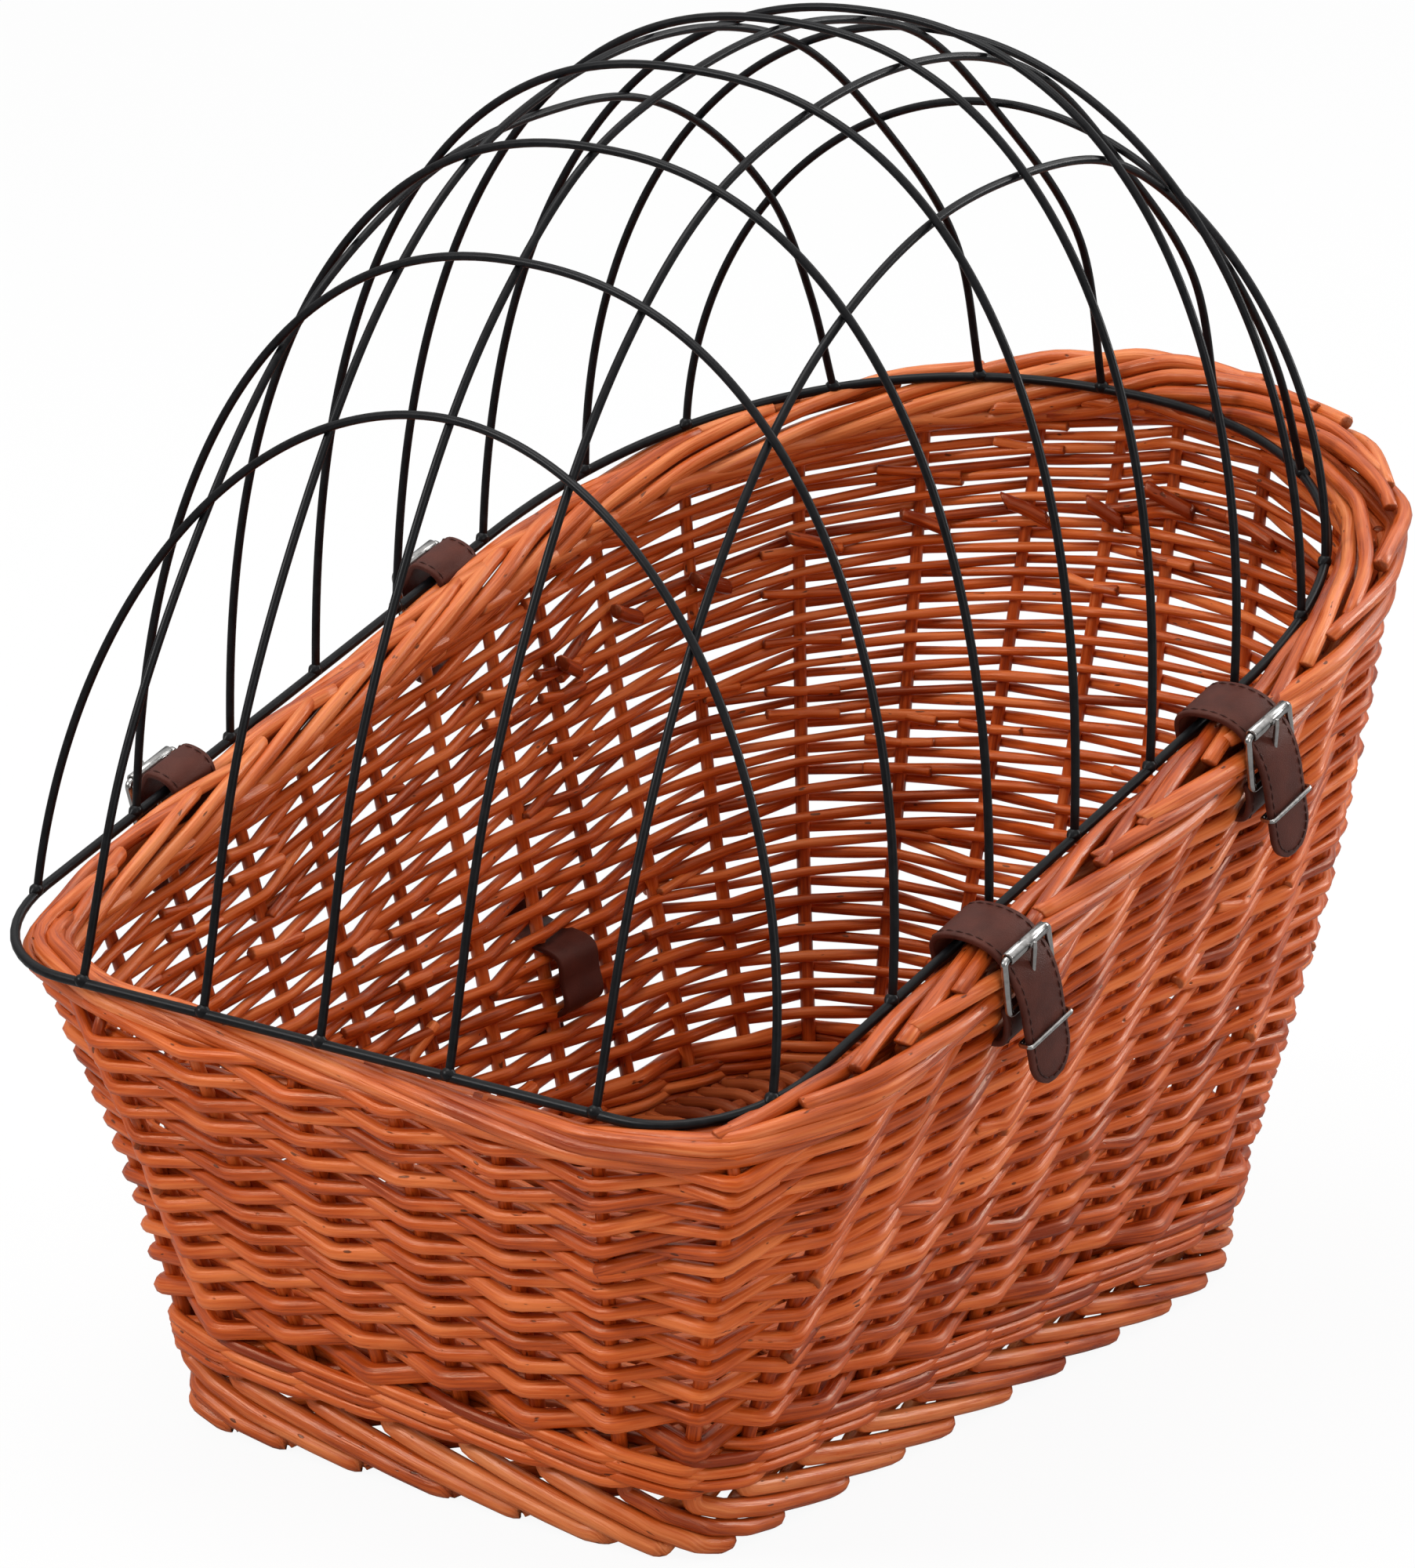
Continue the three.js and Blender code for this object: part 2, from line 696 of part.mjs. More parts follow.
function keeperPiece(label, tail) {
  const margin = seatGap + keeperWireRadius;
  const loop = wireLoop(halfLeather + margin, strapWidth / 2 + margin, keeperCornerRadius, keeperWireRadius, 6);
  const keeper = piece(`keeper_${label}`, loop, nickel);
  keeper.position.set(tail, 0, -keeperDepth);
  return keeper;
}

// A left strap is one strip. A right strap parts inside the wall, so that the dome can take its upper run along.
function strapGroup(side, place, row) {
  const label = `${sideName(side)}_${row}`;
  const group = strapFrame(side, place);
  const layout = strapLayout(side);
  const join = layout.slotLevel + strapJoinRise;
  if (side < 0) {
    const whole = cutBoxes(strip(wholePath(layout), true), [prongHoleCut(layout)]);
    group.add(piece(`strap_${label}`, whole, leather));
  } else {
    const upper = cutBoxes(strip(billetPath(layout, join + seatGap), true), [prongHoleCut(layout)]);
    group.add(piece(`strap_${label}_billet`, upper, leather));
    group.add(piece(`strap_${label}_chape`, strip(chapePath(layout, join), false), leather));
  }
  group.add(buckleGroup(label, layout.heel), keeperPiece(label, layout.overHeel.x));
  return group;
}

function tetherPath() {
  const side = ribThickness / 2 + halfLeather + tetherClearance;
  const half = tetherSpan / 2;
  const bend = strapThickness * 2;
  const upper = [
    flat(side, half + bend + tetherEndLength),
    flat(side, half + bend),
    flat(0, half),
    flat(-side, half - bend),
  ];
  const lower = upper.map((p) => flat(p.x, -p.y)).reverse();
  return [...upper, flat(-side - seatGap, 0), ...lower];
}

function tetherSlotCuts(frame) {
  const height = strapThickness * 5;
  const size = new THREE.Vector3(2 * ribThickness, strapWidth + 2 * seatGap, height);
  return [-1, 1].map((end) => {
    const local = new THREE.Matrix4().setPosition(0, 0, (end * tetherSpan) / 2);
    return { size, matrix: frame.clone().multiply(local) };
  });
}

// Wire dome

function rimWire() {
  const rings = rimStations.map((station) => rimRing(station, station.centre, rimWireRadius, rimWireRadius, 8, 0));
  return loft(rings, true);
}

// How far an arch's end stays from the middle of the rim wire that it is welded to
function footLift(archDirection, wireDirection) {
  const share = Math.abs(archDirection.dot(wireDirection));
  return (rimWireRadius + archRadius * share) / Math.sqrt(1 - share ** 2) + seatGap;
}

// An arch across the dome from the left of the rim wire to its right, leaning back as it rises
function transverseArch(leftPlace, rightPlace, lean, rise, archPower) {
  const steps = 28;
  const footAt = (side, place) => new THREE.Vector3(side * rimHalfWidthAt(place), place, rimHeightAt(place));
  const left = footAt(-1, leftPlace);
  const right = footAt(1, rightPlace);
  const middle = left.clone().lerp(right, 0.5);
  const halfSpan = right.clone().sub(left).multiplyScalar(0.5);
  const apex = new THREE.Vector3(0, lean, rise);
  const lifts = [leftPlace, rightPlace].map((place) => {
    const widthStep = rimHalfWidthAt(place + 1) - rimHalfWidthAt(place);
    const wireDirection = new THREE.Vector3(widthStep, 1, Math.tan(rimTilt)).normalize();
    return footLift(apex.clone().normalize(), wireDirection);
  });
  const startAngle = Math.asin(Math.pow(Math.max(...lifts) / rise, archPower / 2));
  const points = [];
  for (let i = 0; i <= steps; i += 1) {
    const angle = THREE.MathUtils.lerp(startAngle, Math.PI - startAngle, i / steps);
    const across = Math.sign(Math.cos(angle)) * Math.pow(Math.abs(Math.cos(angle)), 2 / archPower);
    const share = Math.pow(Math.sin(angle), 2 / archPower);
    points.push(middle.clone().addScaledVector(halfSpan, across).addScaledVector(apex, share));
  }
  return { curve: new THREE.CatmullRomCurve3(points), steps };
}

// Where an arch passes a distance from the middle plane, and its direction there
function archCrossing({ curve, steps }, x) {
  const points = curve.getSpacedPoints(steps);
  const i = points.findIndex((p, k) => k < steps && p.x >= x && points[k + 1].x <= x);
  const share = (points[i].x - x) / (points[i].x - points[i + 1].x);
  return {
    point: points[i].clone().lerp(points[i + 1], share),
    direction: points[i + 1].clone().sub(points[i]).normalize(),
  };
}

// A longitudinal arch under the transverse ones, from the front of the rim wire to its back.
// Its two ends swell outward halfway up to the first and the last arch that it crosses.
function longArch(frontX, backX, bow, arches) {
  const front = new THREE.Vector3(frontX, 0, rimHeightAt(0));
  const back = new THREE.Vector3(backX, rimBackAt(backX), rimHeightAt(rimBackAt(backX)));
  const crossings = arches.map((arch, i) => {
    const share = (i + 1) / (arches.length + 1);
    return archCrossing(arch, THREE.MathUtils.lerp(frontX, backX, share) + bow * Math.sin(Math.PI * share));
  });
  const line = [front, ...crossings.map(({ point }) => point), back];
  const middle = front.clone().lerp(back, 0.5);
  const inside = crossings.map(({ point, direction }, i) => {
    const along = line[i + 2].clone().sub(line[i]);
    const inward = direction.clone().cross(along).normalize();
    if (inward.dot(middle.clone().sub(point)) < 0) {
      inward.negate();
    }
    return point.clone().addScaledVector(inward, 2 * archRadius + seatGap);
  });
  const swell = (end, next, y) => {
    const halfway = end.clone().lerp(next, 0.5);
    return new THREE.Vector3(halfway.x, y, halfway.z);
  };
  const frontSwell = swell(front, inside[0], longFrontBulge);
  const backSwell = swell(back, inside[inside.length - 1], back.y - longBackBulge);
  const seat = (end, next, wireDirection) => {
    const direction = next.clone().sub(end).normalize();
    return end.clone().addScaledVector(direction, footLift(direction, wireDirection));
  };
  const frontWire = new THREE.Vector3(1, 0, 0);
  const backStep = rimBackAt(backX + 1) - rimBackAt(backX);
  const backWire = new THREE.Vector3(1, backStep, backStep * Math.tan(rimTilt)).normalize();
  const first = seat(front, frontSwell, frontWire);
  const last = seat(back, backSwell, backWire);
  return new THREE.CatmullRomCurve3([first, frontSwell, ...inside, backSwell, last]);
}

function wireDome() {
  const group = new THREE.Group();
  group.add(piece('rim_wire', rimWire(), blackWire));
  const arches = archLeftPlaces.map((leftPlace, i) => (
    transverseArch(leftPlace, archRightPlaces[i], archLeans[i], domeHeight * archRiseShares[i], archPowers[i])
  ));
  arches.forEach(({ curve, steps }, i) => {
    group.add(piece(`cross_arch_${i + 1}`, rod(curve, archRadius, steps), blackWire));
  });
  longFrontPlaces.forEach((frontX, i) => {
    const curve = longArch(frontX, longBackPlaces[i], longBows[i], arches);
    group.add(piece(`long_arch_${i + 1}`, rod(curve, archRadius, 40), blackWire));
  });
  return group;
}

function wovenBody(tetherFrame) {
  const group = new THREE.Group();
  const rightEnd = cornerPanelStakes + sidePanelStakes;
  const leftEnd = otherStakes - cornerPanelStakes;
  const left = wallPanel(leftEnd - sidePanelStakes, leftEnd);
  const leftCuts = [...leftStrapPlaces.map((place) => wallSlotCut(-1, place)), ...tetherSlotCuts(tetherFrame)];
  const right = wallPanel(cornerPanelStakes, rightEnd);
  const rightCuts = rightStrapPlaces.map((place) => wallSlotCut(1, place));
  group.add(
    piece('foot_border', baseRing(0, footHeight, footThickness), paleWillow),
    piece('upsett_waling', baseRing(walingBottom, walingHeight, walingThickness), willow),
    piece('base_panel', basePanel(), willow),
    piece('siding_front', wallPanel(leftEnd, stakeCount + cornerPanelStakes), willow),
    piece('siding_right', cutBoxes(right, rightCuts), willow),
    piece('siding_back', wallPanel(rightEnd, leftEnd - sidePanelStakes), willow),
    piece('siding_left', cutBoxes(left, leftCuts), willow),
    piece('rim_border', cutBoxes(rimBorder(), leftStrapPlaces.map(borderSlotCut)), paleWillow),
  );
  return group;
}

function basket() {
  const group = new THREE.Group();
  const tetherFrame = leftWallFrame(tetherPlace, tetherHeight);
  const tether = strip(tetherPath(), false).applyMatrix4(tetherFrame);
  const rows = ['front', 'rear'];
  group.add(wovenBody(tetherFrame), wireDome(), piece('tether_strap', tether, leather));
  rows.forEach((row, i) => {
    group.add(strapGroup(-1, leftStrapPlaces[i], row), strapGroup(1, rightStrapPlaces[i], row));
  });
  return group;
}

const part = basket();
part.updateMatrixWorld(true);
const bounds = new THREE.Box3().setFromObject(part, true);
part.position.x = -(bounds.min.x + bounds.max.x) / 2;
part.position.y = -(bounds.min.y + bounds.max.y) / 2;

export default part;
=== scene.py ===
import math
import random

import bmesh
import bpy
import numpy as np
from mathutils import Matrix, Vector


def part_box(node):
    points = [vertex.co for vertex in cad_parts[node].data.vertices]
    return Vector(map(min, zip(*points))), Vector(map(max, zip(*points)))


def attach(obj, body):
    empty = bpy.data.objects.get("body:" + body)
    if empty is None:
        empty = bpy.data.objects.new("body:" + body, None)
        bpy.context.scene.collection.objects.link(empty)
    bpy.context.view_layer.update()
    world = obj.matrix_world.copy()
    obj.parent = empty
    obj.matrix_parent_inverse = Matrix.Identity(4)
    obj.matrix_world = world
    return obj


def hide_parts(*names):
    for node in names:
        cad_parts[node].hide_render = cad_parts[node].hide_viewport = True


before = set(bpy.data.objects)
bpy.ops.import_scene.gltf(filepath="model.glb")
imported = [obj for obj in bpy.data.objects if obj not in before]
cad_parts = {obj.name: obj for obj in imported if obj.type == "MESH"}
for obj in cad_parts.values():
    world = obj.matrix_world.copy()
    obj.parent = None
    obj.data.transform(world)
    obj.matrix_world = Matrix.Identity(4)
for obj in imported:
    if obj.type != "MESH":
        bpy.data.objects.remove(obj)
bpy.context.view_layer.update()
scene = bpy.context.scene
draw = random.Random(20)

# rim wire loop, in metres from its front middle on the floor; shift brings it into the frame
rim = dict(halfWidth=0.182, front=0.0, back=0.516, height=0.199, tilt=math.radians(15.15), corner=0.050,
           backStart=0.330, backPower=2.2, wire=0.002)
base = dict(halfWidth=0.1225, front=0.064, back=0.474, corner=0.018, backStart=0.345, backPower=3.7,
            shift=-0.0055, flare=0.009, wallBottom=0.0466)
border = dict(radius=0.0125, frontReach=0.0026, backReach=0.0137, sideReach=0.012, frontSkew=0.0045,
              backSkew=0.0025, backWiden=0.0015, leastDrop=0.003, seat=0.0006, gap=0.0007,
              frontSlim=0.0045, leftLie=-0.0085, rightLie=0.0095, lieBend=1.3, frontDrop=0.0015)
wall = dict(rib=0.015, cornerDip=0.004, backBulge=0.008)
steps = dict(front=16, corner=24, side=24, back=72)

wireLow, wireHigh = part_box("rim_wire")
shift = np.array([(wireLow.x + wireHigh.x) / 2, wireLow.y + rim["wire"], 0.0])
tiltTan = math.tan(rim["tilt"])
rimUp = np.array([0, -math.sin(rim["tilt"]), math.cos(rim["tilt"])])


def unit(v):
    v = np.asarray(v, float)
    return v / np.linalg.norm(v, axis=-1, keepdims=True)


def mix(a, b, t):
    return a + (b - a) * t


def lengthsAlong(points):
    return np.concatenate([[0], np.cumsum(np.linalg.norm(np.diff(points, axis=0), axis=1))])


# outlines of the rim and the base

def halfOutline(o):
    pts = []
    for i in range(steps["front"]):
        pts.append(((o["halfWidth"] - o["corner"]) * i / steps["front"], o["front"]))
    for i in range(steps["corner"]):
        a = math.pi / 2 * i / steps["corner"]
        pts.append((o["halfWidth"] - o["corner"] * (1 - math.sin(a)), o["front"] + o["corner"] * (1 - math.cos(a))))
    sideStart = o["front"] + o["corner"]
    for i in range(steps["side"]):
        pts.append((o["halfWidth"], sideStart + (o["backStart"] - sideStart) * i / steps["side"]))
    for i in range(steps["back"] + 1):
        a = math.pi / 2 * i / steps["back"]
        x = o["halfWidth"] * max(math.cos(a), 0) ** (2 / o["backPower"])
        pts.append((x, o["backStart"] + (o["back"] - o["backStart"]) * math.sin(a) ** (2 / o["backPower"])))
    return pts


def outline(o):
    half = halfOutline(o)
    pts = np.array(half + [(-x, y) for x, y in reversed(half[1:-1])])
    along = unit(np.roll(pts, -1, 0) - np.roll(pts, 1, 0))
    return pts, np.stack([along[:, 1], -along[:, 0]], 1)


rimPlan, rimPlanOut = outline(rim)
basePlan, basePlanOut = outline(base)
basePlan = basePlan + np.array([base["shift"], 0])
stationCount = len(rimPlan)
outX, outY = rimPlanOut[:, 0], rimPlanOut[:, 1]
toBack, toFront = np.maximum(outY, 0), np.maximum(-outY, 0)
reach = (border["frontReach"] * toFront + border["backReach"] * toBack
         + (border["sideReach"] + 2 * (border["backSkew"] * toBack + border["frontSkew"] * toFront)) * outX)
borderOffset = border["radius"] + rim["wire"] + border["seat"]
# along the front the border is thinner, and it passes from inside the wire at the left to outside it at the right
borderHigh = border["radius"] - border["frontSlim"] * toFront
frontShare = np.clip((rimPlan[:, 0] / rimPlan[:, 0].max() + 1) / 2, 0, 1) ** border["lieBend"]
lie = mix(reach, mix(border["leftLie"], border["rightLie"], frontShare), toFront)
clear = borderHigh + rim["wire"] + border["seat"]
borderHalf = borderHigh + 2 * border["backWiden"] * np.maximum(outX, 0) * toBack
borderDrop = np.sqrt(np.maximum(clear ** 2 - lie ** 2, border["leastDrop"] ** 2)) + border["frontDrop"] * toFront
dip = 2 * np.abs(outX) * (wall["cornerDip"] * toFront - wall["backBulge"] * toBack)
rimLine = np.column_stack([rimPlan, rim["height"] + rimPlan[:, 1] * tiltTan])
rimOut = unit(np.column_stack([outX, outY, outY * tiltTan]))
borderLine = rimLine + rimOut * lie[:, None] - rimUp * borderDrop[:, None]
wallTop = rimLine + rimOut * reach[:, None] - rimUp * (borderDrop + borderHigh + border["gap"])[:, None]
baseOut = np.column_stack([basePlanOut, np.zeros(stationCount)])


def baseRing(z):
    plan = basePlan + basePlanOut * base["flare"] * z / base["wallBottom"]
    return np.column_stack([plan, np.full(stationCount, z)])


wallFoot = baseRing(base["wallBottom"])


def at(values, k):
    i = int(math.floor(k))
    return mix(values[i % stationCount], values[(i + 1) % stationCount], k - i)


# stakes: one in each front corner, equal steps between them

stakes = dict(front=7, rest=29, radius=0.0030, level=0.4)
stakeCount = stakes["front"] + stakes["rest"]
cornerStation = steps["front"] + steps["corner"] / 2


def stakeStations():
    middle = mix(wallFoot, wallTop, stakes["level"])
    doubled = np.vstack([middle, middle, middle[:1]])
    length = lengthsAlong(doubled)
    places = np.arange(len(doubled))
    first, left, last = cornerStation, stationCount - cornerStation, stationCount + cornerStation
    found = []
    for start, end, count in ((first, left, stakes["rest"]), (left, last, stakes["front"])):
        a, b = np.interp([start, end], places, length)
        found += [float(np.interp(mix(a, b, i / count), length, places)) for i in range(count)]
    return found


stakeK = stakeStations()


def atStakes(values):
    return np.array([at(values, k) for k in stakeK])


# the way out from the rim at a stake, in plan
def stakeWay(s):
    return at(rimPlanOut, stakeK[int(round(s)) % stakeCount])


stakeFoot, stakeTop, stakeDip = atStakes(wallFoot), atStakes(wallTop), atStakes(dip)
stakeOutFoot, stakeOutTop = unit(atStakes(baseOut)), unit(atStakes(rimOut))
footPlan, footPlanOut = atStakes(basePlan), unit(atStakes(basePlanOut))


def stakeShare(s, z):
    return (z - stakeFoot[s][2]) / (stakeTop[s][2] - stakeFoot[s][2])


def stakePoint(s, z):
    s %= stakeCount
    if z < base["wallBottom"]:
        plan = footPlan[s] + footPlanOut[s] * base["flare"] * z / base["wallBottom"]
        return np.array([plan[0], plan[1], z])
    share = stakeShare(s, z)
    out = mix(stakeOutFoot[s], stakeOutTop[s], share)
    return mix(stakeFoot[s], stakeTop[s], share) - out * stakeDip[s] * 4 * share * (1 - share)


def stakeOut(s, z):
    s %= stakeCount
    share = min(max(stakeShare(s, z), 0), 1)
    up = unit(stakeTop[s] - stakeFoot[s])
    out = mix(stakeOutFoot[s], stakeOutTop[s], share)
    return unit(out - up * np.dot(out, up))


def wallPoint(s, z, out):
    i = int(math.floor(s))
    t = s - i
    point = mix(stakePoint(i, z), stakePoint(i + 1, z), t)
    return point + unit(mix(stakeOut(i, z), stakeOut(i + 1, z), t)) * out


# rods are gathered in bundles, each of which becomes one mesh
# a narrow ring past each end of a rod breaks the edge of the cut

rodShape = dict(endLength=0.3, endWidth=0.74, grainSpan=50)


def newBundle():
    return dict(verts=[], faces=[], coord=[], tint=[], cut=[], count=0)


def soften(points, passes):
    points = np.array(points, float)
    for _ in range(passes):
        points[1:-1] = (points[:-2] + 2 * points[1:-1] + points[2:]) / 4
    return points


def denseLine(controls, samples, passes):
    controls = np.asarray(controls, float)
    parts = [mix(controls[i], controls[i + 1], np.linspace(0, 1, samples, endpoint=False)[:, None])
             for i in range(len(controls) - 1)]
    return soften(np.vstack(parts + [controls[-1:]]), passes)


def addRod(bundle, points, radii, sides=8, tint=0.5, ref=(0, 0, 1), closed=False, slant=0.0):
    points = np.asarray(points, float)
    radii = np.broadcast_to(np.asarray(radii, float), (len(points),)).copy()
    cut = np.zeros(len(points))
    if closed:
        tangent = unit(np.roll(points, -1, 0) - np.roll(points, 1, 0))
    else:
        first = unit(points[0] - points[1])
        last = unit(points[-1] - points[-2])
        points = np.vstack([points[:1] + first * radii[0] * rodShape["endLength"], points,
                            points[-1:] + last * radii[-1] * rodShape["endLength"]])
        radii = np.concatenate([[radii[0] * rodShape["endWidth"]], radii, [radii[-1] * rodShape["endWidth"]]])
        cut = np.concatenate([[1.0], cut, [1.0]])
        tangent = unit(np.gradient(points, axis=0))
    side = unit(np.cross(tangent, np.asarray(ref, float)))
    lift = np.cross(side, tangent)
    angles = np.arange(sides) * 2 * math.pi / sides
    ring = np.cos(angles)[None, :, None] * side[:, None, :] + np.sin(angles)[None, :, None] * lift[:, None, :]
    verts = points[:, None, :] + ring * radii[:, None, None]
    if slant and not closed:
        for end in (0, 1, -2, -1):
            verts[end] += tangent[end] * (slant * radii[end] * np.sin(angles))[:, None]
    along = lengthsAlong(points) + draw.uniform(0, rodShape["grainSpan"])
    coord = np.stack([np.cos(angles)[None, :] * radii[:, None], np.sin(angles)[None, :] * radii[:, None],
                      np.repeat(along[:, None], sides, 1)], 2)
    n = len(points)
    start = bundle["count"]
    rows = n if closed else n - 1
    a = np.arange(rows)[:, None] * sides
    b = (np.arange(rows)[:, None] + 1) % n * sides
    j = np.arange(sides)[None, :]
    nextJ = (j + 1) % sides
    quads = np.stack([a + j, a + nextJ, b + nextJ, b + j], 2).reshape(-1, 4) + start
    bundle["faces"] += quads.tolist()
    if not closed:
        bundle["faces"].append(list(range(start + sides - 1, start - 1, -1)))
        bundle["faces"].append([start + (n - 1) * sides + i for i in range(sides)])
    bundle["verts"].append(verts.reshape(-1, 3))
    bundle["coord"].append(coord.reshape(-1, 3))
    bundle["tint"].append(np.full(n * sides, tint))
    bundle["cut"].append(np.repeat(cut, sides))
    bundle["count"] += n * sides


def rodObject(name, bundle, material, body, slot, replaced=()):
    mesh = bpy.data.meshes.new(name)
    mesh.from_pydata((np.vstack(bundle["verts"]) + shift).tolist(), [], bundle["faces"])
    kinds = dict(coord=("FLOAT_VECTOR", "vector"), tint=("FLOAT", "value"), cut=("FLOAT", "value"))
    for key, (kind, field) in kinds.items():
        values = np.concatenate(bundle[key]).astype(np.float32)
        mesh.attributes.new("rod" + key.capitalize(), kind, "POINT").data.foreach_set(field, values.ravel())
    finishObject(name, mesh, material, body, replaced)


# a piece that is one bent rod; look is the material, body, slot and replaced nodes, and the slot is not used
def singleRod(name, points, radii, sides, ref, closed, *look):
    bundle = newBundle()
    addRod(bundle, points, radii, sides, ref=ref, closed=closed)
    rodObject(name, bundle, *look)


def finishObject(name, mesh, material, body, replaced=()):
    mesh.update()
    work = bmesh.new()
    work.from_mesh(mesh)
    bmesh.ops.recalc_face_normals(work, faces=work.faces)
    work.to_mesh(mesh)
    work.free()
    mesh.shade_smooth()
    mesh.materials.append(material)
    obj = bpy.data.objects.new(name, mesh)
    scene.collection.objects.link(obj)
    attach(obj, body)
    if replaced:
        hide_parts(*replaced)


# shader helpers

def newMaterial(name):
    material = bpy.data.materials.new(name)
    material.use_nodes = True
    tree = material.node_tree
    tree.nodes.clear()
    shader = tree.nodes.new("ShaderNodeBsdfPrincipled")
    output = tree.nodes.new("ShaderNodeOutputMaterial")
    tree.links.new(shader.outputs["BSDF"], output.inputs["Surface"])
    return material, tree, shader


def node(tree, kind, **values):
    made = tree.nodes.new(kind)
    for key, value in values.items():
        setattr(made, key, value)
    return made


def feed(tree, socket, value):
    if isinstance(value, (int, float)):
        socket.default_value = value
    elif isinstance(value, tuple):
        socket.default_value = (*value, 1)
    else:
        tree.links.new(value, socket)


def math2(tree, operation, a, b):
    made = node(tree, "ShaderNodeMath", operation=operation)
    feed(tree, made.inputs[0], a)
    feed(tree, made.inputs[1], b)
    return made.outputs[0]


def multiplied(tree, value, factor):
    return math2(tree, "MULTIPLY", value, factor)


def weighted(tree, a, factorA, b, factorB):
    return math2(tree, "ADD", multiplied(tree, a, factorA), multiplied(tree, b, factorB))


def ramp(tree, factor, stops):
    made = node(tree, "ShaderNodeValToRGB")
    elements = made.color_ramp.elements
    stops = list(stops)
    while len(elements) < len(stops):
        elements.new(0.5)
    for element, (place, color) in zip(elements, stops):
        element.position = place
        element.color = (*color, 1)
    tree.links.new(factor, made.inputs["Fac"])
    return made.outputs["Color"]


def blendColor(tree, factor, a, b):
    made = node(tree, "ShaderNodeMix", data_type="RGBA")
    for place, value in ((0, factor), (6, a), (7, b)):  # the colour sockets of a Mix node are 6 and 7
        feed(tree, made.inputs[place], value)
    return made.outputs[2]


def newGroup(name, inputs, outputs):
    tree = bpy.data.node_groups.new(name, "ShaderNodeTree")
    for label, value in inputs.items():
        socket = tree.interface.new_socket(name=label, in_out="INPUT", socket_type="NodeSocketFloat")
        socket.default_value = value
    for label in outputs:
        tree.interface.new_socket(name=label, in_out="OUTPUT", socket_type="NodeSocketFloat")
    return tree, tree.nodes.new("NodeGroupInput").outputs, tree.nodes.new("NodeGroupOutput").inputs


def useGroup(tree, group, **values):
    made = node(tree, "ShaderNodeGroup", node_tree=group)
    for label, value in values.items():
        made.inputs[label].default_value = value
    return made.outputs


def scaled(tree, vector, factors):
    made = node(tree, "ShaderNodeVectorMath", operation="MULTIPLY")
    tree.links.new(vector, made.inputs[0])
    made.inputs[1].default_value = factors
    return made.outputs[0]


def noise(tree, vector, scale, detail):
    made = node(tree, "ShaderNodeTexNoise")
    feed(tree, made.inputs["Scale"], scale)
    made.inputs["Detail"].default_value = detail
    made.inputs["Roughness"].default_value = 0.55
    tree.links.new(vector, made.inputs["Vector"])
    return made.outputs["Fac"]


def bump(tree, height, strength, distance, shader):
    made = node(tree, "ShaderNodeBump")
    made.inputs["Strength"].default_value = strength
    made.inputs["Distance"].default_value = distance
    tree.links.new(height, made.inputs["Height"])
    tree.links.new(made.outputs["Normal"], shader.inputs["Normal"])


def roughen(tree, tone, uneven, rough, shader):
    feed(tree, shader.inputs["Roughness"], math2(tree, "ADD", multiplied(tree, tone, uneven), rough))


# bark streaks and knots of a peeled and stained rod, in the rod's own straight space; lengths are squeezed along it
grainLook = dict(streaks=900.0, streakLength=0.035, broadScale=90, broadLength=0.25, knotScale=380, knotLength=0.35,
                 knots=0.72, knotEdge=0.05, knotDepth=-0.6, low=0.33, high=0.67)


def makeRodGrain():
    tree, given, put = newGroup("rodGrain", dict(Streaks=grainLook["streaks"], Knots=grainLook["knots"]),
                                ("Tone", "Knot", "Height"))
    coord = node(tree, "ShaderNodeAttribute", attribute_name="rodCoord").outputs["Vector"]
    fine = noise(tree, scaled(tree, coord, (1, 1, grainLook["streakLength"])), given["Streaks"], 4)
    broad = noise(tree, scaled(tree, coord, (1, 1, grainLook["broadLength"])), grainLook["broadScale"], 2)
    spots = noise(tree, scaled(tree, coord, (1, 1, grainLook["knotLength"])), grainLook["knotScale"], 1)
    knot = node(tree, "ShaderNodeMapRange", interpolation_type="SMOOTHSTEP")
    feed(tree, knot.inputs["Value"], spots)
    feed(tree, knot.inputs["From Min"], given["Knots"])
    feed(tree, knot.inputs["From Max"], math2(tree, "ADD", given["Knots"], grainLook["knotEdge"]))
    tone = node(tree, "ShaderNodeMapRange")
    feed(tree, tone.inputs["Value"], weighted(tree, fine, 0.5, broad, 0.5))
    feed(tree, tone.inputs["From Min"], grainLook["low"])
    feed(tree, tone.inputs["From Max"], grainLook["high"])
    feed(tree, put["Tone"], tone.outputs["Result"])
    feed(tree, put["Knot"], knot.outputs["Result"])
    dents = multiplied(tree, knot.outputs["Result"], grainLook["knotDepth"])
    feed(tree, put["Height"], math2(tree, "ADD", fine, dents))
    return tree


# uneven gloss and fine pits of painted, plated or tanned surfaces
mottleLook = dict(scale=300.0, pitScale=9.0, broad=0.4, pits=0.6)


def makeMottle():
    tree, given, put = newGroup("mottle", dict(Scale=mottleLook["scale"]), ("Tone", "Height"))
    coord = node(tree, "ShaderNodeTexCoord").outputs["Object"]
    broad = noise(tree, coord, given["Scale"], 4)
    pits = noise(tree, coord, multiplied(tree, given["Scale"], mottleLook["pitScale"]), 2)
    feed(tree, put["Tone"], broad)
    feed(tree, put["Height"], weighted(tree, broad, mottleLook["broad"], pits, mottleLook["pits"]))
    return tree


rodGrain = makeRodGrain()
mottle = makeMottle()


# stained willow: tint is each rod's tone, which on parts of the rim border and on the butts inside the back also
# carries painted light and shade, and cut ends are darker
willowLook = dict(tint=0.56, grain=0.44, stops=(0.26, 0.5, 0.74), knot=0.85, knotColor=(0.045, 0.006, 0.002),
                  cut=0.7, cutColor=(0.12, 0.022, 0.006), uneven=0.2, specular=0.65, bump=0.65, depth=0.0005)


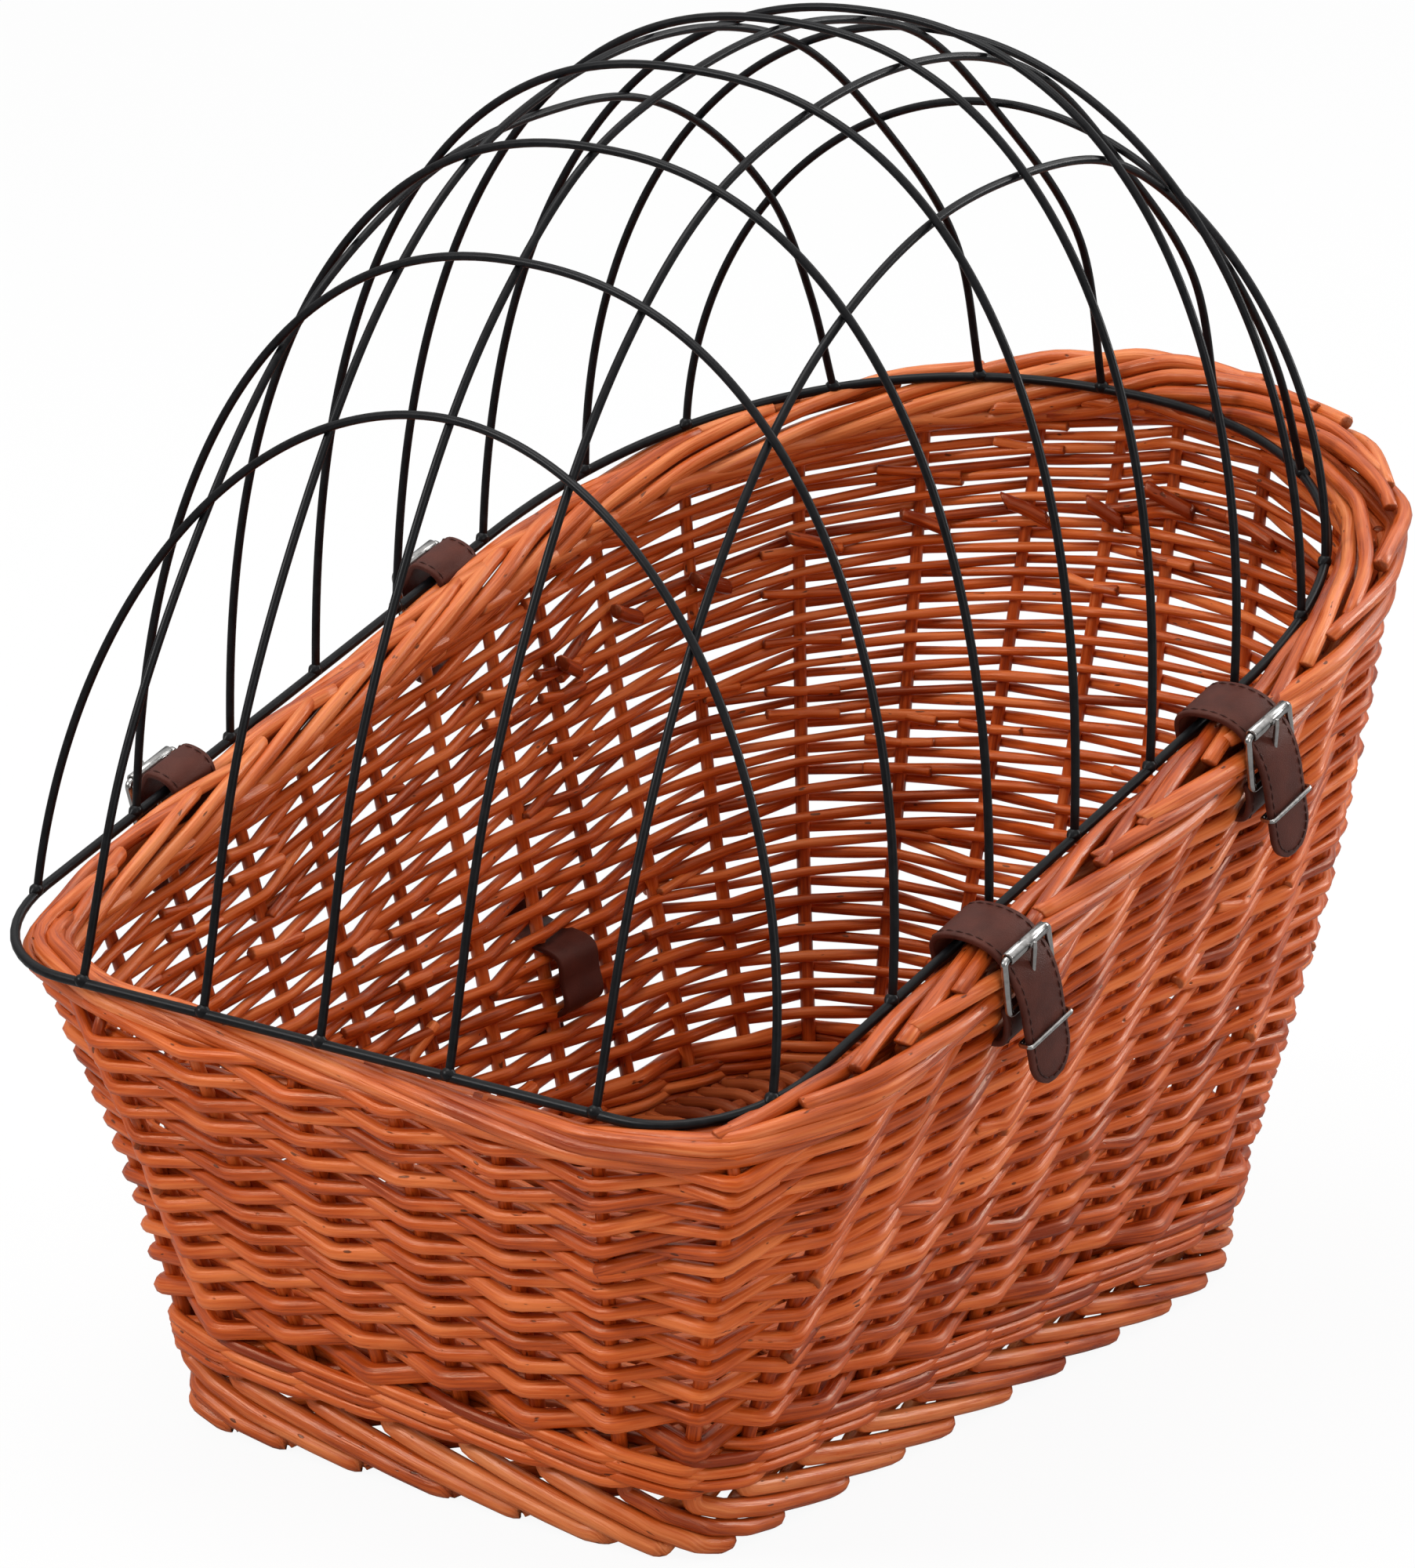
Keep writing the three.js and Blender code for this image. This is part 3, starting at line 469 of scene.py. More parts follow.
def makeWillow(name, dark, middle, pale, rough, sheen):
    material, tree, shader = newMaterial(name)
    grain = useGroup(tree, rodGrain)
    tint = node(tree, "ShaderNodeAttribute", attribute_name="rodTint").outputs["Fac"]
    cut = node(tree, "ShaderNodeAttribute", attribute_name="rodCut").outputs["Fac"]
    tone = weighted(tree, tint, willowLook["tint"], grain["Tone"], willowLook["grain"])
    color = ramp(tree, tone, zip(willowLook["stops"], (dark, middle, pale)))
    color = blendColor(tree, multiplied(tree, grain["Knot"], willowLook["knot"]), color, willowLook["knotColor"])
    color = blendColor(tree, multiplied(tree, cut, willowLook["cut"]), color, willowLook["cutColor"])
    feed(tree, shader.inputs["Base Color"], color)
    roughen(tree, grain["Tone"], willowLook["uneven"], rough, shader)
    shader.inputs["Specular IOR Level"].default_value = willowLook["specular"]
    shader.inputs["Specular Tint"].default_value = (*sheen, 1)
    bump(tree, grain["Height"], willowLook["bump"], willowLook["depth"], shader)
    return material


sidingWillow = makeWillow("sidingWillow", dark=(0.20, 0.019, 0.0015), middle=(0.46, 0.068, 0.007),
                          pale=(0.64, 0.150, 0.034), rough=0.24, sheen=(1, 0.58, 0.38))
borderWillow = makeWillow("borderWillow", dark=(0.24, 0.027, 0.003), middle=(0.48, 0.086, 0.013),
                          pale=(0.66, 0.195, 0.058), rough=0.22, sheen=(1, 0.70, 0.54))
# the base's darker colours are painted shade, for the shadow inside the bottom of the basket
baseWillowPaintedShade = makeWillow("baseWillowPaintedShade", dark=(0.15, 0.022, 0.004), middle=(0.29, 0.052, 0.010),
                        pale=(0.42, 0.095, 0.022), rough=0.42, sheen=(1, 0.58, 0.38))


# black paint and nickel plate: two tones of the same colour and uneven gloss
def makeCoated(name, scale, dark, pale, rough, uneven, depth, strength):
    material, tree, shader = newMaterial(name)
    spots = useGroup(tree, mottle, Scale=scale)
    feed(tree, shader.inputs["Base Color"], ramp(tree, spots["Tone"], ((0.3, dark), (0.7, pale))))
    roughen(tree, spots["Tone"], uneven, rough, shader)
    bump(tree, spots["Height"], strength, depth, shader)
    return material, shader


leatherLook = dict(scale=110.0, cells=1500, cellHeight=1.4, uneven=0.2, specular=0.2, tint=(1, 0.72, 0.62, 1),
                   bump=0.3, depth=0.0003)


def makeLeather(name, dark, pale, rough):
    material, tree, shader = newMaterial(name)
    spots = useGroup(tree, mottle, Scale=leatherLook["scale"])
    cells = node(tree, "ShaderNodeTexVoronoi", feature="DISTANCE_TO_EDGE")
    cells.inputs["Scale"].default_value = leatherLook["cells"]
    feed(tree, cells.inputs["Vector"], node(tree, "ShaderNodeTexCoord").outputs["Object"])
    feed(tree, shader.inputs["Base Color"], ramp(tree, spots["Tone"], ((0.25, dark), (0.75, pale))))
    roughen(tree, spots["Tone"], leatherLook["uneven"], rough, shader)
    creases = multiplied(tree, cells.outputs["Distance"], leatherLook["cellHeight"])
    shader.inputs["Specular IOR Level"].default_value = leatherLook["specular"]
    shader.inputs["Specular Tint"].default_value = leatherLook["tint"]
    bump(tree, math2(tree, "ADD", creases, spots["Height"]), leatherLook["bump"], leatherLook["depth"], shader)
    return material


blackWire, wireShader = makeCoated("blackWire", 260.0, dark=(0.0025, 0.0025, 0.003), pale=(0.006, 0.006, 0.007),
                                   rough=0.24, uneven=0.22, depth=0.0002, strength=0.12)
wireShader.inputs["Specular IOR Level"].default_value = 0.16
nickel, nickelShader = makeCoated("nickel", 420.0, dark=(0.30, 0.29, 0.28), pale=(0.46, 0.45, 0.44),
                                  rough=0.10, uneven=0.16, depth=0.0001, strength=0.06)
nickelShader.inputs["Metallic"].default_value = 1.0
leather = makeLeather("strapLeather", (0.040, 0.0090, 0.0060), (0.076, 0.0190, 0.0125), 0.36)
thread = makeLeather("stitchThread", (0.020, 0.006, 0.005), (0.042, 0.014, 0.011), 0.55)
print("materials ready")


# woven sides: every rod goes before one stake and behind the next
# a row has a label: even rows go before even stakes, and the short rows of band b are 100 * (b + 1) and on
# the low rows lie level above the foot, and the bands turn the rest by degrees to the slope of the rim

siding = dict(lowPitches=(0.0080, 0.0072, 0.0063, 0.0058), bandFirsts=(4, 8, 1000), bandCounts=(4, 4, 10),
              bandPitches=(0.0056, 0.0054, 0.0048), bandShares=(0.42, 0.36, 0.22),
              wedgePitches=(0.0060, 0.0056, 0.0053), rise=0.011, jitter=0.0008, uneven=0.0009,
              widths=(0.0042, 0.0037, 0.0034, 0.0029), widthHeights=(0.004, 0.020, 0.050, 0.140),
              thinBack=0.20, thinLeft=0.15, thickness=(0.86, 1.12), taper=(1.05, 0.93), waver=0.07, waverRate=0.37,
              run=(8, 15), leastRun=3, swing=0.80, swingSpread=(0.93, 1.07), lag=0.0030, lagSpread=(0.5, 1.5),
              tuck=0.36, tuckRise=(-0.001, 0.002), tuckOut=0.1, tuckIn=-0.8, runOutDrop=0.0030, samples=12,
              tone=(0.5, 0.15))
uprights = dict(start=0.031, samples=14, top=0.6, taper=(1.06, 0.85), tone=(0.36, 0.12), refHeight=0.1)
cutEnds = dict(stakes=range(8, 22), shift=0.002, radius=(0.0027, 0.0034), tone=(0.12, 0.06), slant=(0.2, 1.0),
               start=(-0.30, -0.004, -0.004), bend=(-0.06, -0.0080), tip=(0.08, 0.16), tipRise=0.003,
               tipDepth=-0.0115)


# the height that the bands' full rows leave over, shared by the bands
def spareHeight(s):
    rise = siding["rise"] * at(borderHigh, stakeK[s]) / border["radius"]
    room = stakeTop[s][2] - stakeFoot[s][2] + rise - sum(siding["lowPitches"])
    return (room - np.dot(siding["bandCounts"], siding["bandPitches"])) * np.array(siding["bandShares"])


def addedRows():
    pairs = [np.maximum(np.round(spareHeight(s) / siding["wedgePitches"] / 2), 0) for s in range(stakeCount)]
    # no short row spans a single stake
    kept = [np.minimum(pairs[s], np.maximum(pairs[s - 1], pairs[(s + 1) % stakeCount])) for s in range(stakeCount)]
    return 2 * np.array(kept).astype(int)


def rowsAt(s):
    rows = list(enumerate(siding["lowPitches"]))
    bands = zip(siding["bandFirsts"], siding["bandCounts"], siding["bandPitches"], spareHeight(s), shortRows[s])
    for band, (first, count, pitch, spare, added) in enumerate(bands):
        labels = [100 * (band + 1) + i for i in range(added)] + list(range(first, first + count))
        rows += [(label, (count * pitch + spare) / len(labels)) for label in labels]
    uneven = draw.uniform(-siding["uneven"], siding["uneven"])
    heights = {}
    z = stakeFoot[s][2]
    for label, pitch in rows:
        heights[label] = z + pitch / 2 + draw.uniform(-1, 1) * siding["jitter"] + uneven * (label > 1)
        z += pitch
    return heights


shortRows = addedRows()
rowHeights = [rowsAt(s) for s in range(stakeCount)]


def isOutside(s, label):
    return (s + label) % 2 == 0


def rowStretches(label):
    present = [label in heights for heights in rowHeights]
    if all(present):
        first = draw.randrange(stakeCount)
        return [list(range(first, first + stakeCount + 1))]
    gap = present.index(False)
    stretches = [[]]
    for s in range(gap + 1, gap + stakeCount):
        if present[s % stakeCount]:
            stretches[-1].append(s)
        elif stretches[-1]:
            stretches.append([])
    return [stretch for stretch in stretches if len(stretch) > 1]


# a row is laid with several rods, which meet behind a stake
def weaverRuns():
    runs = []
    for label in sorted({label for heights in rowHeights for label in heights}):
        for stretch in rowStretches(label):
            first = stretch[0]
            last = stretch[-1]
            while len(stretch) > 1:
                length = draw.randint(*siding["run"])
                if length < len(stretch) and isOutside(stretch[length], label):
                    length += 1
                if len(stretch) - length < siding["leastRun"]:
                    length = len(stretch)
                part = stretch[:length + 1]
                wedge = 100 <= label < siding["bandFirsts"][-1]
                runs.append((label, part, wedge and part[0] == first, wedge and part[-1] == last))
                stretch = stretch[length:]
    return runs


def sidingRadius(s, label):
    rise = rowHeights[s % stakeCount][label] - base["wallBottom"]
    x, y = stakeWay(s)
    thin = 1 - siding["thinBack"] * max(y, 0) - siding["thinLeft"] * max(-x, 0)
    return thin * float(np.interp(rise, siding["widthHeights"], siding["widths"]))


# on the front the rods lie higher behind a stake than before it
def rowLag(s):
    return siding["lag"] * max(-stakeWay(s)[1], 0)


def crossingPoint(s, label, radius):
    outside = isOutside(s, label)
    z = rowHeights[s % stakeCount][label] + (0 if outside else rowLag(s) * draw.uniform(*siding["lagSpread"]))
    swing = (stakes["radius"] + radius) * siding["swing"] * draw.uniform(*siding["swingSpread"])
    return stakePoint(s, z) + stakeOut(s, z) * (swing if outside else -swing)


def tuckPoint(s, label, toward, radius):
    z = rowHeights[s % stakeCount][label] + draw.uniform(*siding["tuckRise"])
    swing = (stakes["radius"] + radius) * siding["swing"]
    share = siding["tuckOut"] if isOutside(s, label) else siding["tuckIn"]
    return wallPoint(s + toward * siding["tuck"], z, share * swing)


# a short row runs out against the row above it
def runOut(s, label, radius):
    z = rowHeights[s % stakeCount][siding["bandFirsts"][label // 100 - 1]] - siding["runOutDrop"]
    swing = (stakes["radius"] + radius) * siding["swing"]
    return stakePoint(s, z) + stakeOut(s, z) * (swing if isOutside(s, label) else -swing)


def rodTone(middle, spread, least=0.15, most=0.9):
    return min(max(draw.gauss(middle, spread), least), most)


def rowEnd(s, label, toward, radius, isOpen):
    return runOut(s + toward, label, radius) if isOpen else tuckPoint(s, label, toward, radius)


def makeWeavers():
    bundle = newBundle()
    for label, stretch, openStart, openEnd in weaverRuns():
        thick = draw.uniform(*siding["thickness"])
        widths = [sidingRadius(s, label) * thick for s in stretch]
        start = rowEnd(stretch[0], label, -1, widths[0], openStart)
        end = rowEnd(stretch[-1], label, 1, widths[-1], openEnd)
        controls = [start] + [crossingPoint(s, label, width) for s, width in zip(stretch, widths)] + [end]
        line = denseLine(controls, siding["samples"], 1)
        spread = np.interp(np.linspace(0, 1, len(line)), np.linspace(0, 1, len(widths)), widths)
        ends = siding["taper"] if draw.random() < 0.5 else siding["taper"][::-1]
        uneven = 1 + siding["waver"] * np.sin(np.arange(len(line)) * siding["waverRate"] + thick * 40)
        addRod(bundle, line, spread * np.linspace(*ends, len(line)) * uneven, 8, rodTone(*siding["tone"]))
    rodObject("siding_weavers", bundle, sidingWillow, "basket", "willow",
              ("siding_front", "siding_left", "siding_right", "siding_back"))
    print("siding:", bundle["count"], "points")


def makeUprights():
    bundle = newBundle()
    for s in range(stakeCount):
        heights = np.linspace(uprights["start"], stakeTop[s][2], uprights["samples"])
        top = mix(stakePoint(s, stakeTop[s][2]), at(borderLine, stakeK[s]), uprights["top"])
        line = [stakePoint(s, z) for z in heights] + [top]
        radii = np.linspace(*uprights["taper"], len(line)) * stakes["radius"]
        addRod(bundle, line, radii, 8, rodTone(*uprights["tone"]), stakeOut(s, uprights["refHeight"]))
    rodObject("siding_stakes", bundle, sidingWillow, "basket", "willow")


# butts of the last set of rods, cut off inside the back; their dark tone is painted shade for their place inside
# the wall
def makeCutEnds():
    bundle = newBundle()
    for s in cutEnds["stakes"]:
        z = rowHeights[s][siding["bandFirsts"][-1]] + draw.uniform(-cutEnds["shift"], cutEnds["shift"])
        along, rise, depth = cutEnds["start"]
        bendAlong, bendDepth = cutEnds["bend"]
        tip = s + draw.uniform(*cutEnds["tip"])
        controls = [wallPoint(s + along, z + rise, depth), wallPoint(s + bendAlong, z, bendDepth),
                    wallPoint(tip, z + cutEnds["tipRise"], cutEnds["tipDepth"])]
        radius = draw.uniform(*cutEnds["radius"])
        tone = rodTone(*cutEnds["tone"])
        addRod(bundle, denseLine(controls, 6, 2), radius, 8, tone, slant=draw.uniform(*cutEnds["slant"]))
    rodObject("siding_ends", bundle, sidingWillow, "basket", "willow")


makeWeavers()
makeUprights()
makeCutEnds()


# upsett: three bands of three rods, each before two stakes and behind one

upsett = dict(levels=(0.0340, 0.0392, 0.0444), rods=3, radius=0.0027, slope=0.0023, swing=1.15, run=12,
              thickness=(0.92, 1.08), tone=(0.5, 0.2, 0.05, 0.95))


def makeUpsett():
    bundle = newBundle()
    for level in upsett["levels"]:
        for first in range(upsett["rods"]):
            for start in range(first, first + stakeCount, upsett["run"]):
                controls = []
                for i in range(upsett["run"] + 1):
                    phase = i % upsett["rods"]
                    out = (stakes["radius"] + upsett["radius"]) * upsett["swing"] * (-1 if phase == 0 else 1)
                    z = level + upsett["slope"] * (0, 1, -1)[phase]
                    controls.append(wallPoint((start + i) % stakeCount, z, out))
                tone = rodTone(*upsett["tone"])
                radius = upsett["radius"] * draw.uniform(*upsett["thickness"])
                addRod(bundle, denseLine(controls, 8, 4), radius, 8, tone)
    rodObject("upsett_rods", bundle, sidingWillow, "basket", "willow", ("upsett_waling",))
    print("upsett:", bundle["count"], "points")


makeUpsett()


# foot border: every stake end bends along and slopes to the floor past the next three, where it hooks inside and up

foot = dict(radius=0.0037, places=(0, 0.03, 0.6, 1.3, 2.05, 2.65, 2.85, 3.2, 3.9), samples=8,
            heights=(0.0400, 0.0248, 0.0208, 0.0155, 0.0098, 0.0048, 0.0060, 0.0110, 0.0200),
            outs=(0.0, 0.0012, 0.0036, 0.0050, 0.0054, 0.0044, -0.0030, -0.0068, -0.0072),
            run=(0.96, 1.05), lift=0.0007, thickness=(0.92, 1.1), taper=(1.04, 0.92), floorGap=0.0001,
            tone=(0.5, 0.15), slant=(0.2, 0.9), ref=(0.37, 0.21, 0.11))


def makeFoot():
    bundle = newBundle()
    for s in range(stakeCount):
        run = draw.uniform(*foot["run"])
        lift = draw.uniform(-foot["lift"], foot["lift"])
        controls = [wallPoint(s + place * run, z + lift, out)
                    for place, z, out in zip(foot["places"], foot["heights"], foot["outs"])]
        line = denseLine(controls, foot["samples"], 2)
        radii = foot["radius"] * draw.uniform(*foot["thickness"]) * np.linspace(*foot["taper"], len(line))
        line[:, 2] = np.maximum(line[:, 2], radii + foot["floorGap"])
        tone = rodTone(*foot["tone"])
        addRod(bundle, line, radii, 10, tone, foot["ref"], slant=draw.uniform(*foot["slant"]))
    rodObject("foot_border_rods", bundle, borderWillow, "basket", "willow_pale", ("foot_border",))
    print("foot:", bundle["count"], "points")


makeFoot()


# base: sticks from front to back with rods woven across

floorWeave = dict(sticks=9, stickRadius=0.0036, rodRadius=0.0032, pitch=0.0072, level=0.0368, inset=0.010,
                  widest=0.2, swing=0.62, margin=0.004, stickTone=(0.2, 0.6), rodTone=(0.1, 0.8))


# x of a half outline at y, the half running from front to back
def edgeAt(half, y):
    return float(np.interp(y, half[:, 1] + np.arange(len(half)) * 1e-9, half[:, 0]))


def makeBase():
    ring = baseRing(floorWeave["level"]) - baseOut * floorWeave["inset"]
    n = stationCount // 2 + 1
    right = ring[:n]
    left = ring[::-1][:n - 1]
    frontY = ring[:, 1].min()
    backY = ring[:, 1].max()
    level = floorWeave["level"]
    sticks = newBundle()
    firstX = edgeAt(left, floorWeave["widest"])
    spacing = (edgeAt(right, floorWeave["widest"]) - firstX) / (floorWeave["sticks"] + 1)
    stickX = [firstX + spacing * (i + 1) for i in range(floorWeave["sticks"])]
    for x in stickX:
        ends = [y for y in np.linspace(frontY, backY, 80) if edgeAt(left, y) < x < edgeAt(right, y)]
        line = [(x, y, level) for y in np.linspace(ends[0], ends[-1], 12)]
        addRod(sticks, line, floorWeave["stickRadius"], 8, draw.uniform(*floorWeave["stickTone"]))
    rods = newBundle()
    lift = (floorWeave["stickRadius"] + floorWeave["rodRadius"]) * floorWeave["swing"]
    for row in range(1, int((backY - frontY) / floorWeave["pitch"])):
        y = frontY + row * floorWeave["pitch"]
        low = edgeAt(left, y)
        high = edgeAt(right, y)
        controls = [(low, y, level)]
        for i, x in enumerate(stickX):
            if low + floorWeave["margin"] < x < high - floorWeave["margin"]:
                controls.append((x, y, level + lift * (-1) ** (row + i)))
        controls.append((high, y, level))
        addRod(rods, denseLine(controls, 5, 2), floorWeave["rodRadius"], 6, draw.uniform(*floorWeave["rodTone"]))
    rodObject("base_sticks", sticks, baseWillowPaintedShade, "basket", "willow")
    rodObject("base_weavers", rods, baseWillowPaintedShade, "basket", "willow", ("base_panel",))
    print("base:", rods["count"], "points")


makeBase()


# rim border: every stake end passes under to the outside, climbs over it along the rim and is cut off on top

plait = dict(outerRadius=0.0035, topRadius=0.0033, outerStart=268, topStart=-150, rate=44, lead=0.3, samples=7,
             frontEnd=-30, backEnd=58, rightEnd=34, leftEnd=-14, overlap=10, backLift=0.0034, cornerLift=0.0035,
             tone=0.52, paintedLightBack=0.10, paintedShadeRight=0.20, toneSpread=0.14, thickness=(0.9, 1.1), taper=(1.05, 0.94),
             rateSpread=(0.93, 1.07), unevenness=(-0.0008, 0.0012), loose=(0.0, 1.6), topAngle=30,
             endSpread=(-6, 10), slant=(0.2, 0.9), outerPast=5, topPast=3.5, topOffset=0.5, knot=0.5, lastKnot=0.3)


def borderPoint(s, degrees, inset):
    i = int(math.floor(s))
    t = s - i
    a = stakeK[i % stakeCount]
    b = stakeK[(i + 1) % stakeCount]
    centre = mix(at(borderLine, a), at(borderLine, b), t)
    out = unit(mix(at(rimOut, a), at(rimOut, b), t))
    across = mix(at(borderHalf, a), at(borderHalf, b), t) - inset
    upward = mix(at(borderHigh, a), at(borderHigh, b), t) - inset
    angle = math.radians(degrees)
    return centre + out * across * math.sin(angle) + rimUp * upward * math.cos(angle)


def strokeEnd(s):
    x, y = stakeWay(s)
    weights = np.array([max(-y, 0), max(y, 0), max(x, 0), max(-x, 0)])
    ends = np.array([plait["frontEnd"], plait["backEnd"], plait["rightEnd"], plait["leftEnd"]])
    return float((weights * ends).sum() / weights.sum())


def addStroke(bundle, s, start, end, radius, tone):
    turn = math.copysign(plait["rate"] * draw.uniform(*plait["rateSpread"]), end - start)
    run = (end - start) / turn - plait["lead"]
    knots = np.append(np.arange(-plait["lead"], run - plait["lastKnot"], plait["knot"]), run)
    lifts = [draw.uniform(*plait["unevenness"]) for _ in knots]
    loose = draw.uniform(*plait["loose"])
    line = []
    for place in np.arange(-plait["lead"], run, 1 / plait["samples"]):
        degrees = start + turn * (place + plait["lead"])
        x, y = stakeWay(s - place)
        top = max(math.cos(math.radians(degrees - plait["topAngle"])), 0) ** 2
        lift = float(np.interp(place, knots, lifts)) + plait["backLift"] * max(y, 0) * top * loose
        lift += plait["cornerLift"] * max(-x, 0) * max(-y, 0) * top
        line.append(borderPoint(s - place, degrees, radius - lift))
    radii = radius * np.linspace(*plait["taper"], len(line))
    addRod(bundle, soften(line, 2), radii, 10, tone, slant=draw.uniform(*plait["slant"]))


def makeRimBorder():
    bundle = newBundle()
    for s in range(stakeCount):
        x, y = stakeWay(s)
        # painted light and shade: the back of the border is made paler as if lit, and the right side darker as if
        # shaded
        tone = plait["tone"] + plait["paintedLightBack"] * max(y, 0) - plait["paintedShadeRight"] * max(x, 0)
        end = strokeEnd(s - plait["outerPast"]) - plait["overlap"]
        radius = plait["outerRadius"] * draw.uniform(*plait["thickness"])
        addStroke(bundle, s, plait["outerStart"], end, radius, rodTone(tone, plait["toneSpread"]))
        end = strokeEnd(s - plait["topPast"]) + draw.uniform(*plait["endSpread"])
        radius = plait["topRadius"] * draw.uniform(*plait["thickness"])
        tone = rodTone(tone, plait["toneSpread"])
        addStroke(bundle, s + plait["topOffset"], plait["topStart"], end, radius, tone)
    rodObject("rim_border_rods", bundle, borderWillow, "basket", "willow_pale", ("rim_border",))
    print("rim border:", bundle["count"], "points")


makeRimBorder()


# wire dome: cross arches over long ones, all welded to the rim wire

dome = dict(radius=0.0017, height=0.269, seat=0.0003, sides=12,
            lefts=(0.044, 0.104, 0.162, 0.216, 0.268, 0.3255, 0.387, 0.433),
            rights=(0.0305, 0.0995, 0.1615, 0.218, 0.269, 0.3275, 0.384, 0.423),
            leans=(0.040, 0.0175, 0.0025, 0.0055, 0.015, 0.0155, 0, 0.0085),
            rises=(0.788, 0.914, 0.983, 1, 0.978, 0.896, 0.782, 0.593),
            powers=(1.94, 2.21, 2.25, 2.34, 2.28, 2.23, 2.04, 1.95),
            longFronts=(-0.121, -0.062, -0.006, 0.0545, 0.1215),
            longBacks=(-0.116, -0.0605, -0.0045, 0.0565, 0.1155),
            longBows=(0.0005, -0.0025, 0.002, -0.001, -0.006), frontBulge=0.026, backBulge=0.0185)
bead = dict(size=0.0029, crossRise=0.0012, longRise=0.0010, length=1.1, cut=0.35, rings=7)


def rimHeight(y):
    return rim["height"] + y * tiltTan


def rimHalfAt(y):
    if y < rim["corner"]:
        return rim["halfWidth"] - rim["corner"] + math.sqrt(rim["corner"] ** 2 - (rim["corner"] - y) ** 2)
    past = max(y - rim["backStart"], 0) / (rim["back"] - rim["backStart"])
    return rim["halfWidth"] * (1 - past ** rim["backPower"]) ** (1 / rim["backPower"])


def rimBackAt(x):
    share = (abs(x) / rim["halfWidth"]) ** rim["backPower"]
    return rim["backStart"] + (rim["back"] - rim["backStart"]) * (1 - share) ** (1 / rim["backPower"])


def crossArch(left, right, lean, rise, power):
    ends = [np.array([side * rimHalfAt(y), y, rimHeight(y)]) for side, y in ((-1, left), (1, right))]
    angles = np.linspace(0, math.pi, 121)
    across = np.sign(np.cos(angles)) * np.abs(np.cos(angles)) ** (2 / power)
    share = np.maximum(np.sin(angles), 0) ** (2 / power)
    apex = np.array([0, lean, rise * dome["height"]])
    return mix(ends[0], ends[1], 0.5) + np.outer(across, ends[1] - ends[0]) / 2 + np.outer(share, apex)


# a smooth curve through points, even where their spacing changes
def smoothCurve(points, samples):
    p = np.asarray(points, float)
    p = np.vstack([2 * p[0] - p[1], p, 2 * p[-1] - p[-2]])
    line = []
    for i in range(1, len(p) - 2):
        t = [0.0]
        for a, b in zip(p[i - 1:i + 2], p[i:i + 3]):
            t.append(t[-1] + max(np.linalg.norm(b - a), 1e-9) ** 0.5)
        for x in np.linspace(t[1], t[2], samples, endpoint=False):
            a1 = mix(p[i - 1], p[i], (x - t[0]) / (t[1] - t[0]))
            a2 = mix(p[i], p[i + 1], (x - t[1]) / (t[2] - t[1]))
            a3 = mix(p[i + 1], p[i + 2], (x - t[2]) / (t[3] - t[2]))
            b1 = mix(a1, a2, (x - t[0]) / (t[2] - t[0]))
            b2 = mix(a2, a3, (x - t[1]) / (t[3] - t[1]))
            line.append(mix(b1, b2, (x - t[1]) / (t[2] - t[1])))
    return np.vstack([line, p[-2]])


def archCrossing(arch, x):
    i = next(k for k in range(len(arch) - 1) if arch[k][0] >= x >= arch[k + 1][0])
    share = (arch[i][0] - x) / (arch[i][0] - arch[i + 1][0])
    return mix(arch[i], arch[i + 1], share), unit(arch[i + 1] - arch[i])


def longArch(frontX, backX, bow, arches):
    front = np.array([frontX, 0, rimHeight(0)])
    back = np.array([backX, rimBackAt(backX), rimHeight(rimBackAt(backX))])
    shares = [(i + 1) / (len(arches) + 1) for i in range(len(arches))]
    found = [archCrossing(arch, mix(frontX, backX, share) + bow * math.sin(math.pi * share))
             for arch, share in zip(arches, shares)]
    line = [front] + [point for point, _ in found] + [back]
    middle = mix(front, back, 0.5)
    inside = []
    for i, (point, direction) in enumerate(found):
        inward = unit(np.cross(direction, line[i + 2] - line[i]))
        inward = inward if np.dot(inward, middle - point) > 0 else -inward
        inside.append(point + inward * (2 * dome["radius"] + dome["seat"]))
    swells = []
    for end, near, y in ((front, inside[0], dome["frontBulge"]), (back, inside[-1], back[1] - dome["backBulge"])):
        halfway = mix(end, near, 0.5)
        swells.append(np.array([halfway[0], y, halfway[2]]))
    return smoothCurve([front, swells[0]] + inside + [swells[1], back], 14)


# a bead lies along the rim wire at the foot of an arch
def addBead(bundle, centre, direction):
    direction = unit(direction)
    share = np.sin(np.linspace(bead["cut"], math.pi - bead["cut"], bead["rings"]))
    places = np.linspace(-bead["length"], bead["length"], bead["rings"])
    line = [centre + direction * bead["size"] * place for place in places]
    addRod(bundle, line, bead["size"] * share, 10)


def addWire(name, line, radius, ref, closed, replaced):
    singleRod(name, line, radius, dome["sides"], ref, closed, blackWire, "dome", "black_wire", (replaced,))


def makeDome():
    addWire("rim_wire_loop", rimLine[::2], rim["wire"], rimUp, True, "rim_wire")
    crossKeys = ("lefts", "rights", "leans", "rises", "powers")
    arches = [crossArch(*values) for values in zip(*(dome[key] for key in crossKeys))]
    beads = newBundle()
    for i, arch in enumerate(arches):
        addWire(f"cross_arch_wire_{i + 1}", arch, dome["radius"], (0, 1, 0.02), False, f"cross_arch_{i + 1}")
        for end in (arch[0], arch[-1]):
            addBead(beads, end + rimUp * bead["crossRise"], (0, 1, tiltTan))
    for i, values in enumerate(zip(dome["longFronts"], dome["longBacks"], dome["longBows"])):
        line = longArch(*values, arches)
        addWire(f"long_arch_wire_{i + 1}", line, dome["radius"], (1, 0, 0), False, f"long_arch_{i + 1}")
        for end in (line[0], line[-1]):
            addBead(beads, end + rimUp * bead["longRise"], (1, 0, 0))
    rodObject("weld_beads", beads, blackWire, "dome", "black_wire")
    print("dome ready")


makeDome()


# leather straps over the rim, in a plane across it: v is outward and w is up from the rim wire

